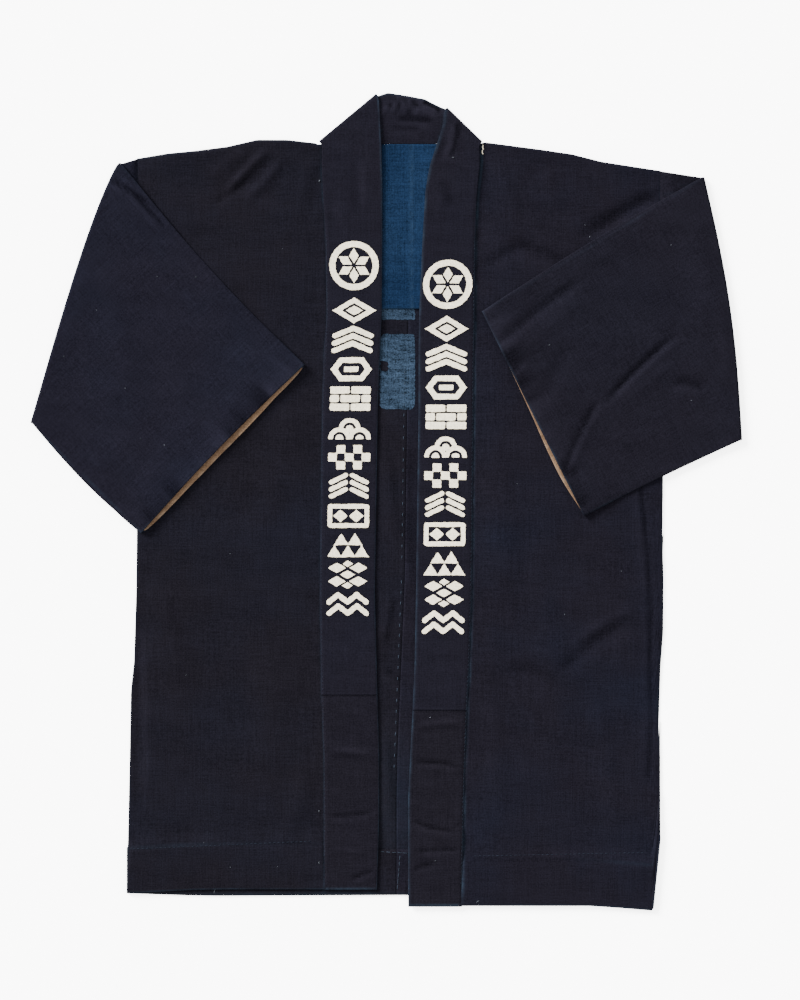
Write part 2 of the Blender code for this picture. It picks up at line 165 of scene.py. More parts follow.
def waver(x, y, pitch, seed):
    """Smooth values from -1 to 1 over the plane, with one hump or dip to each pitch."""
    across, up = np.floor(x / pitch), np.floor(y / pitch)
    right, above = smooth(x / pitch - across), smooth(y / pitch - up)

    def corner(i, j):
        mixed = np.sin((across + i) * 12.9898 + (up + j) * 78.233 + seed * 37.719)
        return np.modf(mixed * 43758.5453)[0]

    lower = corner(0, 0) * (1 - right) + corner(1, 0) * right
    upper = corner(0, 1) * (1 - right) + corner(1, 1) * right
    return lower * (1 - above) + upper * above


def near(distance, reach):
    """1 at an edge, falling softly to 0 at this reach from it."""
    return 1 - smooth(distance / reach)


def graded(length, fine, coarse, edge=0.012):
    """Shares from 0 to 1 that lie closer together at both ends."""
    steps, at = [0.0], 0.0
    while at < length / 2:
        at += fine + (coarse - fine) * float(smooth(at / edge))
        steps.append(at)
    half = np.array(steps) / (2 * at)
    return np.concatenate([half, 1 - half[-2::-1]])


print("unevenness along a line:", np.round(waver(np.linspace(0, 0.3, 6), np.zeros(6), 0.08, 3), 2))

# %% Creases

Crease = namedtuple("Crease", "x0 y0 x1 y1 width height bend")
SHARP = 0.0080


def creases(x, y, table):
    """The height that these creases add: each is a soft ridge with a shallower dip beside it."""
    total = np.zeros_like(x)
    for c in table:
        dx, dy = c.x1 - c.x0, c.y1 - c.y0
        length = math.hypot(dx, dy)
        along = ((x - c.x0) * dx + (y - c.y0) * dy) / length**2
        aside = ((y - c.y0) * dx - (x - c.x0) * dy) / length - 4 * c.bend * along * (1 - along)
        fade = smooth(np.minimum(along, 1 - along) / 0.3 + 0.15)
        ridge = np.exp(-((aside / c.width) ** 2))
        dip = np.exp(-(((aside + 2.1 * c.width) / (1.5 * c.width)) ** 2))
        total += c.height * fade * (ridge - 0.45 * dip)
    return total


def crease_shading(x, y, table, height):
    """Painted light and shade for the sharper creases: 1, a painted highlight, on a ridge of this height,
    -1, painted shade, in such a hollow.
    """
    return creases(x, y, [c for c in table if c.width < SHARP]) / height


one_crease = [Crease(-0.05, 0.0, 0.05, 0.0, 0.004, 0.001, 0.0)]
across_it = creases(np.zeros(5), np.linspace(-0.008, 0.008, 5), one_crease)
print("across a crease of 1 mm, in mm:", np.round(1000 * across_it, 2))

# %% [markdown]
# ## Materials
# Indigo cotton of this kind is nearly black where the dye is thick. It turns blue where wear
# has taken it off: on folds, seams and hems first. The yarn is uneven, so it shows thick
# threads both ways. Noise nodes in the coat's own metres draw the yarn and the patches. Two
# more values are painted on the points of each mesh, because a mesh knows where its edges and
# creases are and a texture does not. "wear" says how much dye is rubbed off. "fold" is
# painted light and shade. It makes the cloth paler on a ridge, partly as rubbed dye and partly
# as a painted highlight, and darker in a hollow as painted shade, since light alone shows
# little on such dark cloth. It also carries slow random changes of tone.

# %% Material helpers


def tone(red, green, blue):
    """A colour by how much of red, green and blue light it throws back, in thousandths."""
    return red / 1000, green / 1000, blue / 1000, 1.0


def node(tree, kind, inputs=None, **settings):
    """A new node. An input is either a value or the output of another node."""
    made = tree.nodes.new(kind)
    for key, value in settings.items():
        setattr(made, key, value)
    for key, value in (inputs or {}).items():
        if isinstance(value, bpy.types.NodeSocket):
            tree.links.new(value, made.inputs[key])
        else:
            made.inputs[key].default_value = value
    return made


def calc(tree, operation, a, b=0.0, c=0.0):
    """One sum on up to three values."""
    return node(tree, "ShaderNodeMath", {0: a, 1: b, 2: c}, operation=operation).outputs[0]


def mixed(tree, share, first, second):
    """A colour between two colours. A Mix node keeps its colour sockets at 6 and 7."""
    return node(tree, "ShaderNodeMix", {0: share, 6: first, 7: second}, data_type="RGBA").outputs[2]


def streaks(tree, place, turn, long, thin, seed):
    """Noise drawn out into threads of this length and thickness."""
    inputs = {"Vector": place, "Rotation": (0, 0, turn), "Location": (seed, seed, 0)}
    turned = node(tree, "ShaderNodeMapping", inputs).outputs[0]
    inputs = {"Vector": turned, "Scale": (1 / long, 1 / thin, 1.0)}
    drawn = node(tree, "ShaderNodeMapping", inputs).outputs[0]
    inputs = {"Vector": drawn, "Scale": 1.0, "Detail": 3.0, "Roughness": 0.6}
    return node(tree, "ShaderNodeTexNoise", inputs).outputs["Fac"]


# %% Woven cotton

THREAD_PITCH = 0.0009


def woven(name, dyed, faded, worn, turn=0.0, fading=0.35, slub=0.5, sheen=0.002, seed=1.0):
    """Plain-weave cotton: dyed, fading to another colour in patches, and worn on its edges."""
    material = bpy.data.materials.new(name)
    material.use_nodes = True
    tree = material.node_tree
    shader = tree.nodes["Principled BSDF"]
    place = node(tree, "ShaderNodeTexCoord").outputs["Object"]

    weft = streaks(tree, place, turn, 0.030, 0.0011, seed)
    warp = streaks(tree, place, turn + math.pi / 2, 0.045, 0.0013, seed + 3)
    threads = calc(tree, "SUBTRACT", calc(tree, "ADD", weft, warp), 1.0)
    inputs = {"Vector": place, "Scale": 620.0, "Detail": 2.0}
    grain = calc(tree, "SUBTRACT", node(tree, "ShaderNodeTexNoise", inputs).outputs["Fac"], 0.5)
    inputs = {"Vector": place, "Scale": 7.0, "Detail": 4.0, "Roughness": 0.55, "W": seed}
    blotch = node(tree, "ShaderNodeTexNoise", inputs, noise_dimensions="4D").outputs["Fac"]
    patch = node(tree, "ShaderNodeMapRange", {"Value": blotch, "From Min": 0.42, "From Max": 0.68})
    thick_threads = calc(tree, "MULTIPLY", threads, slub * 0.5)
    share = calc(tree, "MULTIPLY_ADD", patch.outputs[0], fading, thick_threads)
    cloth = mixed(tree, calc(tree, "MAXIMUM", share, 0.0), dyed, faded)
    thread_light = calc(tree, "MULTIPLY", threads, slub * 1.5)
    grain_light = calc(tree, "MULTIPLY", grain, slub * 2.6)
    light = calc(tree, "ADD", thread_light, grain_light)
    # The "fold" value is painted light and shade: a painted highlight on crease ridges and painted shade in
    # their hollows, with random tone.
    fold = node(tree, "ShaderNodeAttribute", attribute_name="fold").outputs["Fac"]
    light = calc(tree, "MULTIPLY_ADD", fold, 0.42, light)
    inputs = {"Value": calc(tree, "ADD", light, 1.0), "Color": cloth}
    cloth = node(tree, "ShaderNodeHueSaturation", inputs).outputs[0]

    rubbed = node(tree, "ShaderNodeAttribute", attribute_name="wear").outputs["Fac"]
    inputs = {"Vector": place, "Scale": 260.0, "Detail": 4.0, "Roughness": 0.7}
    ragged = node(tree, "ShaderNodeTexNoise", inputs).outputs["Fac"]
    rubbed = calc(tree, "MULTIPLY", rubbed, calc(tree, "MULTIPLY_ADD", ragged, 2.2, -0.35))
    rubbed = node(tree, "ShaderNodeClamp", {"Value": rubbed}).outputs[0]
    tree.links.new(mixed(tree, rubbed, cloth, worn), shader.inputs["Base Color"])

    # At scale 1 the bands of a wave texture lie 2 pi / 20 apart.
    grid = node(tree, "ShaderNodeMapping", {"Vector": place, "Rotation": (0, 0, turn)}).outputs[0]
    inputs = {"Vector": grid, "Scale": 2 * math.pi / (20 * THREAD_PITCH)}
    rows = node(tree, "ShaderNodeTexWave", inputs, bands_direction="X").outputs["Fac"]
    columns = node(tree, "ShaderNodeTexWave", inputs, bands_direction="Y").outputs["Fac"]
    weave = calc(tree, "MULTIPLY_ADD", calc(tree, "MULTIPLY", rows, columns), 0.5, threads)
    bump = node(tree, "ShaderNodeBump", {"Height": weave, "Strength": 0.35, "Distance": 0.0005})
    tree.links.new(bump.outputs[0], shader.inputs["Normal"])
    shader.inputs["Roughness"].default_value = 0.93
    shader.inputs["Specular IOR Level"].default_value = 0.0
    shader.inputs["Sheen Weight"].default_value = sheen
    shader.inputs["Sheen Roughness"].default_value = 0.45
    shader.inputs["Sheen Tint"].default_value = (0.55, 0.68, 1.0, 1.0)
    return material


NAVY = tone(2.95, 2.62, 3.75)
NAVY_RIGHT = tone(3.05, 2.7, 4.15)
BLUE_BLACK = tone(2.5, 3.0, 5.6)
WORN_BLUE = tone(7.0, 11.0, 17.0)
body_cloth = woven("indigo_body_left", NAVY, BLUE_BLACK, WORN_BLUE, seed=1.0)
right_cloth = woven("indigo_body_right", NAVY_RIGHT, BLUE_BLACK, WORN_BLUE, fading=0.5, seed=2.3)
print("materials so far:", body_cloth.name, right_cloth.name)

# %% [markdown]
# ## From rows of points to a piece of cloth
# A piece is a list of rows. Each row crosses the cloth, and neighbouring rows are joined by
# four-sided faces, which bend well and shade smoothly. Solidify then gives the sheet its
# wall, half on each side, so that the rows stay the middle of the cloth. An open sheet would
# be simpler still, but it shows no edge where it is cut or folded.

# %% Rows and folds

WALL = 0.0007


def join_rows(rows, tube=False):
    """Faces between rows of points. A longer row keeps its extra points for the next one."""
    starts = np.cumsum([0] + [len(row) for row in rows])
    faces = []
    for lower, upper, a, b in zip(rows, rows[1:], starts, starts[1:]):
        count = min(len(lower), len(upper))
        i = np.arange(count if tube else count - 1)
        j = (i + 1) % count
        faces.append(np.stack([a + i, a + j, b + j, b + i], axis=1))
    return np.concatenate(rows), np.concatenate(faces)


def turned_over(start, end, outward, steps=5):
    """Rows round a fold, from one row to the row that lies above or below it."""
    middle, reach = (start + end) / 2, (start - end) / 2
    size = np.linalg.norm(reach, axis=1, keepdims=True)
    rows = []
    for step in range(1, steps):
        angle = math.pi * step / steps
        rows.append(middle + reach * math.cos(angle) + outward * size * math.sin(angle))
    return rows


print("a cloth is drawn", round(1000 * WALL, 1), "mm thick in a solid of", round(1000 * CLOTH, 1), "mm")

# %% The piece maker


def new_piece(name, points, faces, material, wall=0.0, wear=None, fold=None):
    """One mesh on the coat, with its painted values and, for cloth, a wall."""
    mesh = bpy.data.meshes.new(name)
    mesh.from_pydata(points.tolist(), [], faces.tolist() if hasattr(faces, "tolist") else faces)
    mesh.shade_smooth()
    # "wear" is rubbed-off dye. "fold" is painted highlight and shade on the creases, with random tone.
    for label, values, least in (("wear", wear, 0), ("fold", fold, -1)):
        if values is not None:
            attribute = mesh.attributes.new(label, "FLOAT", "POINT")
            attribute.data.foreach_set("value", np.clip(values, least, 1).astype(np.float32))
    mesh.materials.append(material)
    piece = bpy.data.objects.new(name, mesh)
    bpy.context.scene.collection.objects.link(piece)
    if wall:
        shell = piece.modifiers.new("wall", "SOLIDIFY")
        shell.thickness = wall
        shell.offset = 0.0
    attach(piece, "root")
    print(f"{name}: {len(mesh.vertices)} points, {len(mesh.polygons)} faces")
    return piece


# %% [markdown]
# ## The two lengths of the body
# A coat like this is cut from narrow cloth. One length makes each half: it runs from the front
# hem up over the shoulder and down the back to the other hem, with no shoulder seam. So each
# half is one sheet here too. Its rows start inside the turned-up front hem, follow the cloth
# round the shoulder, and end inside the back hem.

# %% Outlines of the body halves

neck_y = cut(["collar_upper"], X, 0.02, high=2.3 * CLOTH)[:, Y].min()
HEM_DEPTH = 0.052
SEAM_OVERLAP = 0.0006
Half = namedtuple("Half", "side outer inner front_hem back_hem shoulder centre")


def read_half(name, side):
    """The outlines of one half. Its side is -1 on the left and 1 on the right."""
    low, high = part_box(name)
    first, edge = low.y + 0.007, abs(low.x if side < 0 else high.x)

    def on_this_side(hits):
        return hits[:, X] * side > 0.01

    inner = outline(BANDS, Y, first - 0.001, neck_y + 0.001, X, side, keep=on_this_side)
    near_collar = abs(look(inner, -0.3))
    below_shoulder = look(outline([name], Y, 0.2, 0.3, X, side, count=3), 0.2)
    side_top = cut([name], X, below_shoulder - side * 0.002)[:, Y].max()
    outer = outline([name], Y, first, side_top - 0.006, X, side)
    ends = sorted((side * (edge - 0.002), side * near_collar))
    front_hem = outline([name], X, *ends, Y, -1, low=2 * LAYER)
    ends = sorted((look(outer, 0.3) - side * 0.0005, side * near_collar))
    shoulder = outline([name], X, *ends, Y, 1)
    centre = outline([name], Y, low.y + 0.030, neck_y - 0.002, X, -side, high=CLOTH)
    ends = sorted((side * (edge - 0.001), look(centre, low.y) + side * 0.0006))
    back_hem = outline([name], X, *ends, Y, -1, high=LAYER + CLOTH)
    return Half(side, outer, inner, front_hem, back_hem, shoulder, centre)


LEFT = read_half("body_left", -1)
RIGHT = read_half("body_right", 1)
for half in (LEFT, RIGHT):
    width = abs(look(half.outer, 0.0) - look(half.centre, 0.0))
    print("one half is", round(1000 * width), "mm wide from side to centre back")

# %% Creases of the body

LEFT_FRONT = (
    Crease(-0.187, 0.350, -0.134, 0.405, 0.0042, 0.0019, 0.003),
    Crease(-0.165, 0.345, -0.118, 0.398, 0.0046, 0.0012, -0.003),
    Crease(-0.200, 0.338, -0.150, 0.376, 0.0038, -0.0010, 0.002),
    Crease(-0.205, 0.372, -0.160, 0.402, 0.0070, 0.0008, 0.002),
    Crease(-0.100, 0.330, -0.085, 0.400, 0.0080, 0.0010, 0.000),
    Crease(-0.272, 0.355, -0.215, 0.300, 0.0100, 0.0010, 0.004),
    Crease(-0.110, 0.120, -0.150, -0.060, 0.0160, 0.0010, 0.006),
    Crease(-0.255, -0.080, -0.225, -0.240, 0.0140, 0.0010, -0.006),
    Crease(-0.150, -0.140, -0.130, -0.330, 0.0180, 0.0009, 0.008),
    Crease(-0.280, -0.130, -0.276, -0.360, 0.0060, 0.0009, 0.002),
    Crease(-0.090, -0.300, -0.120, -0.400, 0.0090, 0.0007, 0.002),
)
RIGHT_FRONT = (
    Crease(0.222, 0.302, 0.318, 0.357, 0.0070, -0.0022, 0.003),
    Crease(0.140, 0.300, 0.215, 0.268, 0.0075, -0.0010, 0.003),
    Crease(0.112, 0.270, 0.170, 0.300, 0.0060, -0.0009, 0.003),
    Crease(0.120, 0.395, 0.150, 0.330, 0.0080, 0.0010, 0.003),
    Crease(0.185, 0.385, 0.200, 0.330, 0.0100, 0.0011, -0.003),
    Crease(0.118, 0.330, 0.145, 0.255, 0.0100, 0.0009, 0.002),
    Crease(0.290, 0.030, 0.303, -0.120, 0.0026, -0.0015, 0.002),
    Crease(0.303, -0.090, 0.305, -0.260, 0.0024, -0.0013, -0.001),
    Crease(0.304, -0.240, 0.300, -0.330, 0.0030, -0.0010, 0.001),
    Crease(0.195, -0.200, 0.278, -0.134, 0.0065, -0.0010, 0.004),
    Crease(0.215, -0.165, 0.290, -0.120, 0.0060, 0.0008, 0.004),
    Crease(0.140, -0.190, 0.200, -0.205, 0.0075, -0.0008, 0.003),
    Crease(0.125, 0.080, 0.135, -0.140, 0.0150, 0.0010, 0.006),
    Crease(0.180, -0.040, 0.205, -0.260, 0.0180, 0.0011, -0.008),
    Crease(0.120, -0.200, 0.128, -0.380, 0.0100, 0.0009, 0.003),
    Crease(0.240, -0.220, 0.262, -0.400, 0.0110, 0.0010, 0.004),
    Crease(0.215, 0.010, 0.262, -0.030, 0.0090, 0.0009, 0.003),
)
BACK = (
    Crease(0.008, -0.105, -0.004, -0.168, 0.0035, 0.0007, 0.002),
    Crease(-0.006, -0.193, 0.018, -0.206, 0.0030, 0.0007, 0.001),
    Crease(0.016, -0.214, 0.032, -0.216, 0.0028, 0.0006, 0.001),
    Crease(0.004, 0.060, 0.014, -0.060, 0.0060, 0.0005, 0.002),
    Crease(0.026, 0.070, 0.030, -0.100, 0.0050, 0.0005, -0.002),
    Crease(0.002, -0.260, 0.006, -0.380, 0.0040, 0.0006, 0.002),
    Crease(-0.200, 0.300, -0.120, 0.100, 0.0140, 0.0005, 0.010),
    Crease(0.220, 0.200, 0.160, -0.060, 0.0160, 0.0005, 0.010),
    Crease(-0.240, -0.100, -0.180, -0.330, 0.0140, 0.0005, -0.010),
    Crease(0.120, -0.150, 0.230, -0.350, 0.0150, 0.0005, 0.010),
)
print("creases on the left, the right and the back:", len(LEFT_FRONT), len(RIGHT_FRONT), len(BACK))

# %% [markdown]
# ## How high the cloth lies
# A front rests on the back, but both have a turned-up hem, so at the hem it lies two cloths
# higher. Between its edges it stays a little loose, and it puckers along each seam. The height
# is a sum of such soft steps, one for each thing that lifts the cloth. A sculpted mesh could
# look the same, but a sum can be read and changed.

# %% Heights of the body

FRONT_LOWEST = SECOND - 0.00035


def front_creases(half):
    return LEFT_FRONT if half.side < 0 else RIGHT_FRONT


def front_height(half, x, y, to_side, to_seam):
    """Mid-height of a front: on the back, over both turned-up hems, and loose in between."""
    above_hem = y - look(half.front_hem, x)
    below_fold = look(half.shoulder, x) - y
    height = SECOND + 2 * LAYER * near(above_hem - HEM_DEPTH + 0.006, 0.022)
    loose = smooth(to_side / 0.035) * smooth(to_seam / 0.030) * smooth(above_hem / 0.09)
    height += 0.0008 * loose
    slow = 0.55 * waver(x, y, 0.085, 3) + 0.30 * waver(x, y, 0.034, 5) + 0.12 * waver(x, y, 0.015, 8)
    height += 0.0010 * slow * (0.35 + 0.65 * loose)
    height += creases(x, y, front_creases(half))
    puckers = waver(x * 0.4, y, 0.0085, 2) * near(to_seam, 0.022)
    puckers = puckers + waver(x * 0.4, y, 0.010, 4) * near(to_side, 0.020)
    puckers += 0.8 * waver(x, y * 0.4, 0.011, 6) * near(np.abs(above_hem - HEM_DEPTH), 0.014)
    height += 0.00045 * puckers
    height += 0.0022 * near(below_fold, 0.030) * smooth(to_side / 0.05) * smooth(to_seam / 0.05)
    height -= 0.0005 * near(np.abs(above_hem - HEM_DEPTH), 0.003)
    height = np.maximum(height, FRONT_LOWEST)
    for at_edge in (near(to_side, 0.0035), near(to_seam + 0.001, 0.0019)):
        height = height + (FRONT_LOWEST - height) * at_edge * smooth(above_hem / 0.06)
    return height


def back_height(x, y):
    """Mid-height of the back, which rests on the surface."""
    slow = 0.5 * waver(x, y, 0.040, 7) + 0.3 * waver(x, y, 0.014, 9)
    height = FLOOR + 0.00025 * (1 + slow) + np.abs(creases(x, y, BACK)) * 0.4
    seam = np.abs(x - look(LEFT.centre, y))
    return height - 0.00020 * near(seam, 0.003)


print("a front lies no lower than", round(1000 * FRONT_LOWEST, 2), "mm")

# %% The sheet of a body half

UNDER_BAND = 0.004
HEM_ROLL = LAYER / 2
TURN_STEP = LAYER * 0.8
TOWARDS_NECK = np.array([0.0, 1.0, 0.0])


def front_grid(half, shares, along):
    """Places across and up a front, from the side (0) to just under the collar (1)."""
    share, up = np.meshgrid(shares, along)
    y = up * 0.8 - 0.4
    for _ in range(6):
        outer = look(half.outer, y)
        x = outer + (look(half.inner, y) - half.side * UNDER_BAND - outer) * share
        hem = look(half.front_hem, x)
        y = hem + (look(half.shoulder, x) - hem) * up
    return x, y


def front_rows(half, quick):
    """The front, from hem to shoulder."""
    across = graded(0.22, 0.0012, 0.0034 * quick)
    x, y = front_grid(half, across, graded(0.85, 0.0014, 0.0036 * quick))
    to_side = np.abs(x - look(half.outer, y))
    outside = np.where(np.abs(x) > np.abs(look(half.inner, y)), 1, -1)
    to_seam = np.abs(x - look(half.inner, y)) * outside
    z = front_height(half, x, y, to_side, to_seam)
    # The outermost points of each fold are the panel's own outline.
    roll = (z[-1] - FLOOR) / 2
    y = y - near(look(half.shoulder, x) - y, 0.012) * roll
    y = y + near(y - look(half.front_hem, x), 0.010) * HEM_ROLL
    return [np.stack([x[k], y[k], z[k]], axis=1) for k in range(len(x))]


def front_turning(first):
    """The turned-up cloth inside the front hem, from its raw edge to the hem's first row."""
    rows = []
    for depth in np.linspace(HEM_DEPTH, 0.0, 9):
        places = first[:, Y] + depth
        rows.append(np.stack([first[:, X], places, np.full(len(places), THIRD)], axis=1))
    rows[-1][:, Z] = first[:, Z] - LAYER
    return rows


def back_rows(half, under, quick):
    """The back, from the shoulder to the hem. Its first row goes on past the neck to the centre."""
    middle = look(half.centre, neck_y)
    past_centre = half.side * -SEAM_OVERLAP / 2
    shares = (under[:, X] - look(half.outer, neck_y)) / (middle - look(half.outer, neck_y))
    extra = graded(abs(middle - under[-1, X]), 0.0022, 0.0030 * quick)[1:]
    shares = np.concatenate([shares, shares[-1] + (1 - shares[-1]) * extra])
    top = np.full(len(shares), neck_y - 0.0003)
    top[: len(under)] = under[:, Y]
    count = int(125 / quick)
    rows = []
    for step in range(count + 1):
        line = top.copy()
        for _ in range(3):
            outer = look(half.outer, line)
            place = outer + (look(half.centre, line) + past_centre - outer) * shares
            hem = look(half.back_hem, place) + HEM_ROLL
            line = top + (hem - top) * (step / count)
        rows.append(np.stack([place, line, back_height(place, line)], axis=1))
    rows[0][: len(under)] = under
    return rows


def back_turning(over):
    """The turned-up cloth on the inside of the back hem."""
    rows = []
    for depth in np.linspace(0.0, HEM_DEPTH, 12):
        row = over.copy()
        row[:, Y] += depth
        row[:, Z] = over[:, Z] + 0.00020 * waver(row[:, X], row[:, Y], 0.012, 3)
        rows.append(row)
    return rows


def half_rows(half, quick):
    """One length of cloth: front turning, front, shoulder fold, back and back turning."""
    front = front_rows(half, quick)
    inside = front_turning(front[0])
    under = front[-1].copy()
    under[:, Z] = FLOOR
    back = back_rows(half, under, quick)
    over = back[-1].copy()
    over[:, Z] += TURN_STEP
    rows = inside + turned_over(inside[-1], front[0], -TOWARDS_NECK) + front
    rows += turned_over(front[-1], under, TOWARDS_NECK, 8) + back
    return rows + turned_over(back[-1], over, -TOWARDS_NECK) + back_turning(over)


print("hems are turned up by", round(1000 * HEM_DEPTH), "mm")

# %% [markdown]
# ## Where the dye has gone
# Dye rubs off first where cloth is folded or sewn, so the wear of each point comes from its
# distance to the panel's own edges. A slow unevenness keeps the worn lines from looking ruled.

# %% Wear, and light and shade painted on the body


def body_paint(half, points):
    """The painted values of a body half: wear along its edges, and painted highlight and shade on its
    creases.
    """
    px, py, pz = points.T
    wear = 0.6 * near(np.abs(px - look(half.outer, py)), 0.0016)
    at_collar = near(np.abs(px - look(half.inner, py) - 0.0006 * (half.side > 0)), 0.0019) * (pz > LAYER)
    wear = np.maximum(wear, (0.95 if half.side > 0 else 0.4) * at_collar)
    wear = np.maximum(wear, 0.65 * near(np.abs(py - look(half.front_hem, px)), 0.0018) * (pz > THIRD))
    wear = np.maximum(wear, 0.4 * near(np.abs(py - look(half.shoulder, px)), 0.0026))
    stitched = np.abs(py - look(half.front_hem, px) - HEM_DEPTH)
    wear = np.maximum(wear, 0.16 * near(stitched, 0.0012) * (pz > THIRD))
    wear = np.maximum(wear, 0.5 * near(np.abs(py - look(half.back_hem, px)), 0.0026) * (pz < THIRD))
    wear *= 0.65 + 0.55 * waver(px, py, 0.022, 4)
    on_front = pz > LAYER
    # The front's sharper creases: a painted highlight on each ridge and painted shade in each hollow.
    fold = crease_shading(px, py, front_creases(half), 0.0018) * on_front
    # The back's creases are painted the other way round: painted shade along each ridge, paler beside it.
    fold -= crease_shading(px, py, BACK, 0.0008) * ~on_front
    fold += 0.13 * waver(px, py, 0.034, 5) + 0.12 * waver(px, py, 0.013, 8) + 0.08 * waver(px, py, 0.005, 9)
    # Painted shade in the groove just above the front hem's stitching.
    fold -= 0.5 * near(np.abs(stitched - 0.0012), 0.0016) * (pz > THIRD)
    wear = np.maximum(wear, 0.10 * smooth((-0.20 - py) / 0.15) * ~on_front)
    return wear, fold


def body_half(name, half, material):
    points, faces = join_rows(half_rows(half, 1.0))
    wear, fold = body_paint(half, points)
    piece = new_piece(name + "_cloth", points, faces, material, WALL, wear, fold)
    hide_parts(name)
    return piece


left_body = body_half("body_left", LEFT, body_cloth)
right_body = body_half("body_right", RIGHT, right_cloth)

# %% [markdown]
# ## The collar
# The collar is one long band, folded double, sewn round the front edges and the neck. It is
# built from its rulings: straight lines from the sewn edge to the free edge. Down the fronts
# they lie level. Round the neck they lean over until they lie along the two folds where the
# band turns to the back, as a paper strip does when it is folded at a slant.

# %% Edges of the collar

BAND_SOLID = 0.0022
ABOVE_NECK = 2.6 * CLOTH
BAND_WALL = 0.0016
MIDDLE_X = 0.020


def left_of(hits):
    return hits[:, X] < MIDDLE_X


def right_of(hits):
    return hits[:, X] > MIDDLE_X


band_low = min(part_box(name)[0].y for name in BANDS) + 0.002
fold_ends = {
    -1: (far_corner("collar_upper", -1, 1.2), far_corner("collar_upper", -0.3, 1)),
    1: (far_corner("collar_upper", 1, 0.8), far_corner("collar_upper", 0.5, 1)),
}
Side = namedtuple("Side", "sign sewn free top fold")


def read_band(sign, keep):
    """The outlines of the collar on one side, and the two ends of its fold at the neck."""
    sewn_end, free_end = fold_ends[sign]
    low = max(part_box(f"collar_lower_{'left' if sign < 0 else 'right'}")[0].y, band_low) + 0.001
    sewn = outline(BANDS, Y, low, sewn_end[1] - 0.004, X, sign, low=ABOVE_NECK, keep=keep)
    free = outline(BANDS, Y, low, free_end[1] - 0.006, X, -sign, low=ABOVE_NECK, keep=keep)
    top = outline(BANDS, Y, low, sewn_end[1] - 0.004, Z, 1, low=ABOVE_NECK, keep=keep)
    sewn = Table(np.append(sewn.at, sewn_end[1]), np.append(sewn.value, sewn_end[0]))
    free = Table(np.append(free.at, free_end[1]), np.append(free.value, free_end[0]))
    return Side(sign, sewn, free, top, (sewn_end, free_end))


LEFT_BAND = read_band(-1, left_of)
RIGHT_BAND = read_band(1, right_of)
top_edge = outline(["collar_upper"], X, fold_ends[-1][1][0] + 0.003, fold_ends[1][1][0] - 0.002, Y, 1)
piecing = {
    -1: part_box("collar_lower_left")[1].y,
    1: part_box("collar_lower_right")[1].y,
}
band_width = abs(look(LEFT_BAND.free, 0) - look(LEFT_BAND.sewn, 0))
print("the collar is", round(1000 * band_width, 1), "mm wide")

# %% Creases and heights of the collar

BAND_CREASES = (
    Crease(0.0815, 0.4350, 0.0800, 0.4140, 0.0030, -0.0022, 0.0008),
    Crease(0.0803, 0.4170, 0.0710, 0.3940, 0.0028, -0.0018, 0.0010),
    Crease(0.0760, 0.4150, 0.0650, 0.3900, 0.0040, 0.0010, 0.0010),
    Crease(0.0640, 0.372, 0.0740, 0.335, 0.0060, -0.0007, 0.001),
    Crease(-0.030, 0.395, -0.026, 0.330, 0.0050, 0.0006, 0.001),
    Crease(-0.060, 0.345, -0.045, 0.300, 0.0060, 0.0005, 0.001),
    Crease(0.034, -0.258, 0.088, -0.253, 0.0028, 0.0010, 0.001),
    Crease(0.030, -0.300, 0.084, -0.304, 0.0030, -0.0011, 0.002),
    Crease(0.028, -0.366, 0.080, -0.378, 0.0026, -0.0011, -0.003),
    Crease(0.030, -0.403, 0.086, -0.400, 0.0020, -0.0010, 0.001),
    Crease(0.030, -0.424, 0.060, -0.414, 0.0024, -0.0009, 0.001),
    Crease(-0.066, -0.286, -0.016, -0.290, 0.0030, 0.0010, 0.001),
    Crease(-0.068, -0.361, -0.014, -0.357, 0.0028, -0.0010, -0.002),
    Crease(-0.066, -0.400, -0.020, -0.404, 0.0030, 0.0005, 0.001),
    Crease(-0.040, -0.434, -0.012, -0.424, 0.0024, -0.0010, 0.001),
    Crease(-0.060, -0.240, -0.020, -0.246, 0.0028, 0.0005, 0.001),
)
NECK_CREASES = (
    Crease(0.0420, 0.4590, 0.0630, 0.4460, 0.0026, -0.0014, 0.0016),
    Crease(0.0280, 0.4620, 0.0420, 0.4500, 0.0026, -0.0005, -0.001),
    Crease(0.0090, 0.4640, 0.0160, 0.4500, 0.0026, -0.0005, 0.001),
    Crease(0.0200, 0.4640, 0.0240, 0.4520, 0.0024, -0.0005, 0.001),
    Crease(-0.0020, 0.4560, 0.0080, 0.4520, 0.0022, -0.0006, 0.001),
    Crease(0.0100, 0.4395, 0.0560, 0.4370, 0.0034, -0.0006, 0.001),
    Crease(0.0040, 0.4290, 0.0400, 0.4275, 0.0034, -0.0004, 0.001),
)
print(len(BAND_CREASES), "creases down the collar and", len(NECK_CREASES), "behind the neck")

# %% Rulings of the collar

BAND_QUICK = 1.0
ACROSS_BAND = graded(0.064, 0.0008, 0.0024 * BAND_QUICK, edge=0.006)


def band_height(x, y, to_sewn, to_free, top):
    """Mid-height of the collar's front stretches."""
    slow = 0.5 * waver(x, y, 0.030, 21) + 0.35 * waver(x, y, 0.012, 23)
    height = top - BAND_SOLID / 2 + 0.00035 * (1 + slow) + creases(x, y, BAND_CREASES)
    height += 0.00022 * waver(x, y, 0.0075, 25) * near(np.minimum(to_sewn, to_free), 0.012)
    height -= 0.0010 * near(to_sewn, 0.0034) + 0.00045 * near(to_free, 0.0022)
    for sign in (-1, 1):
        beside = (x - MIDDLE_X) * sign > 0
        height -= 0.0006 * near(np.abs(y - piecing[sign]), 0.0026) * beside
    return height


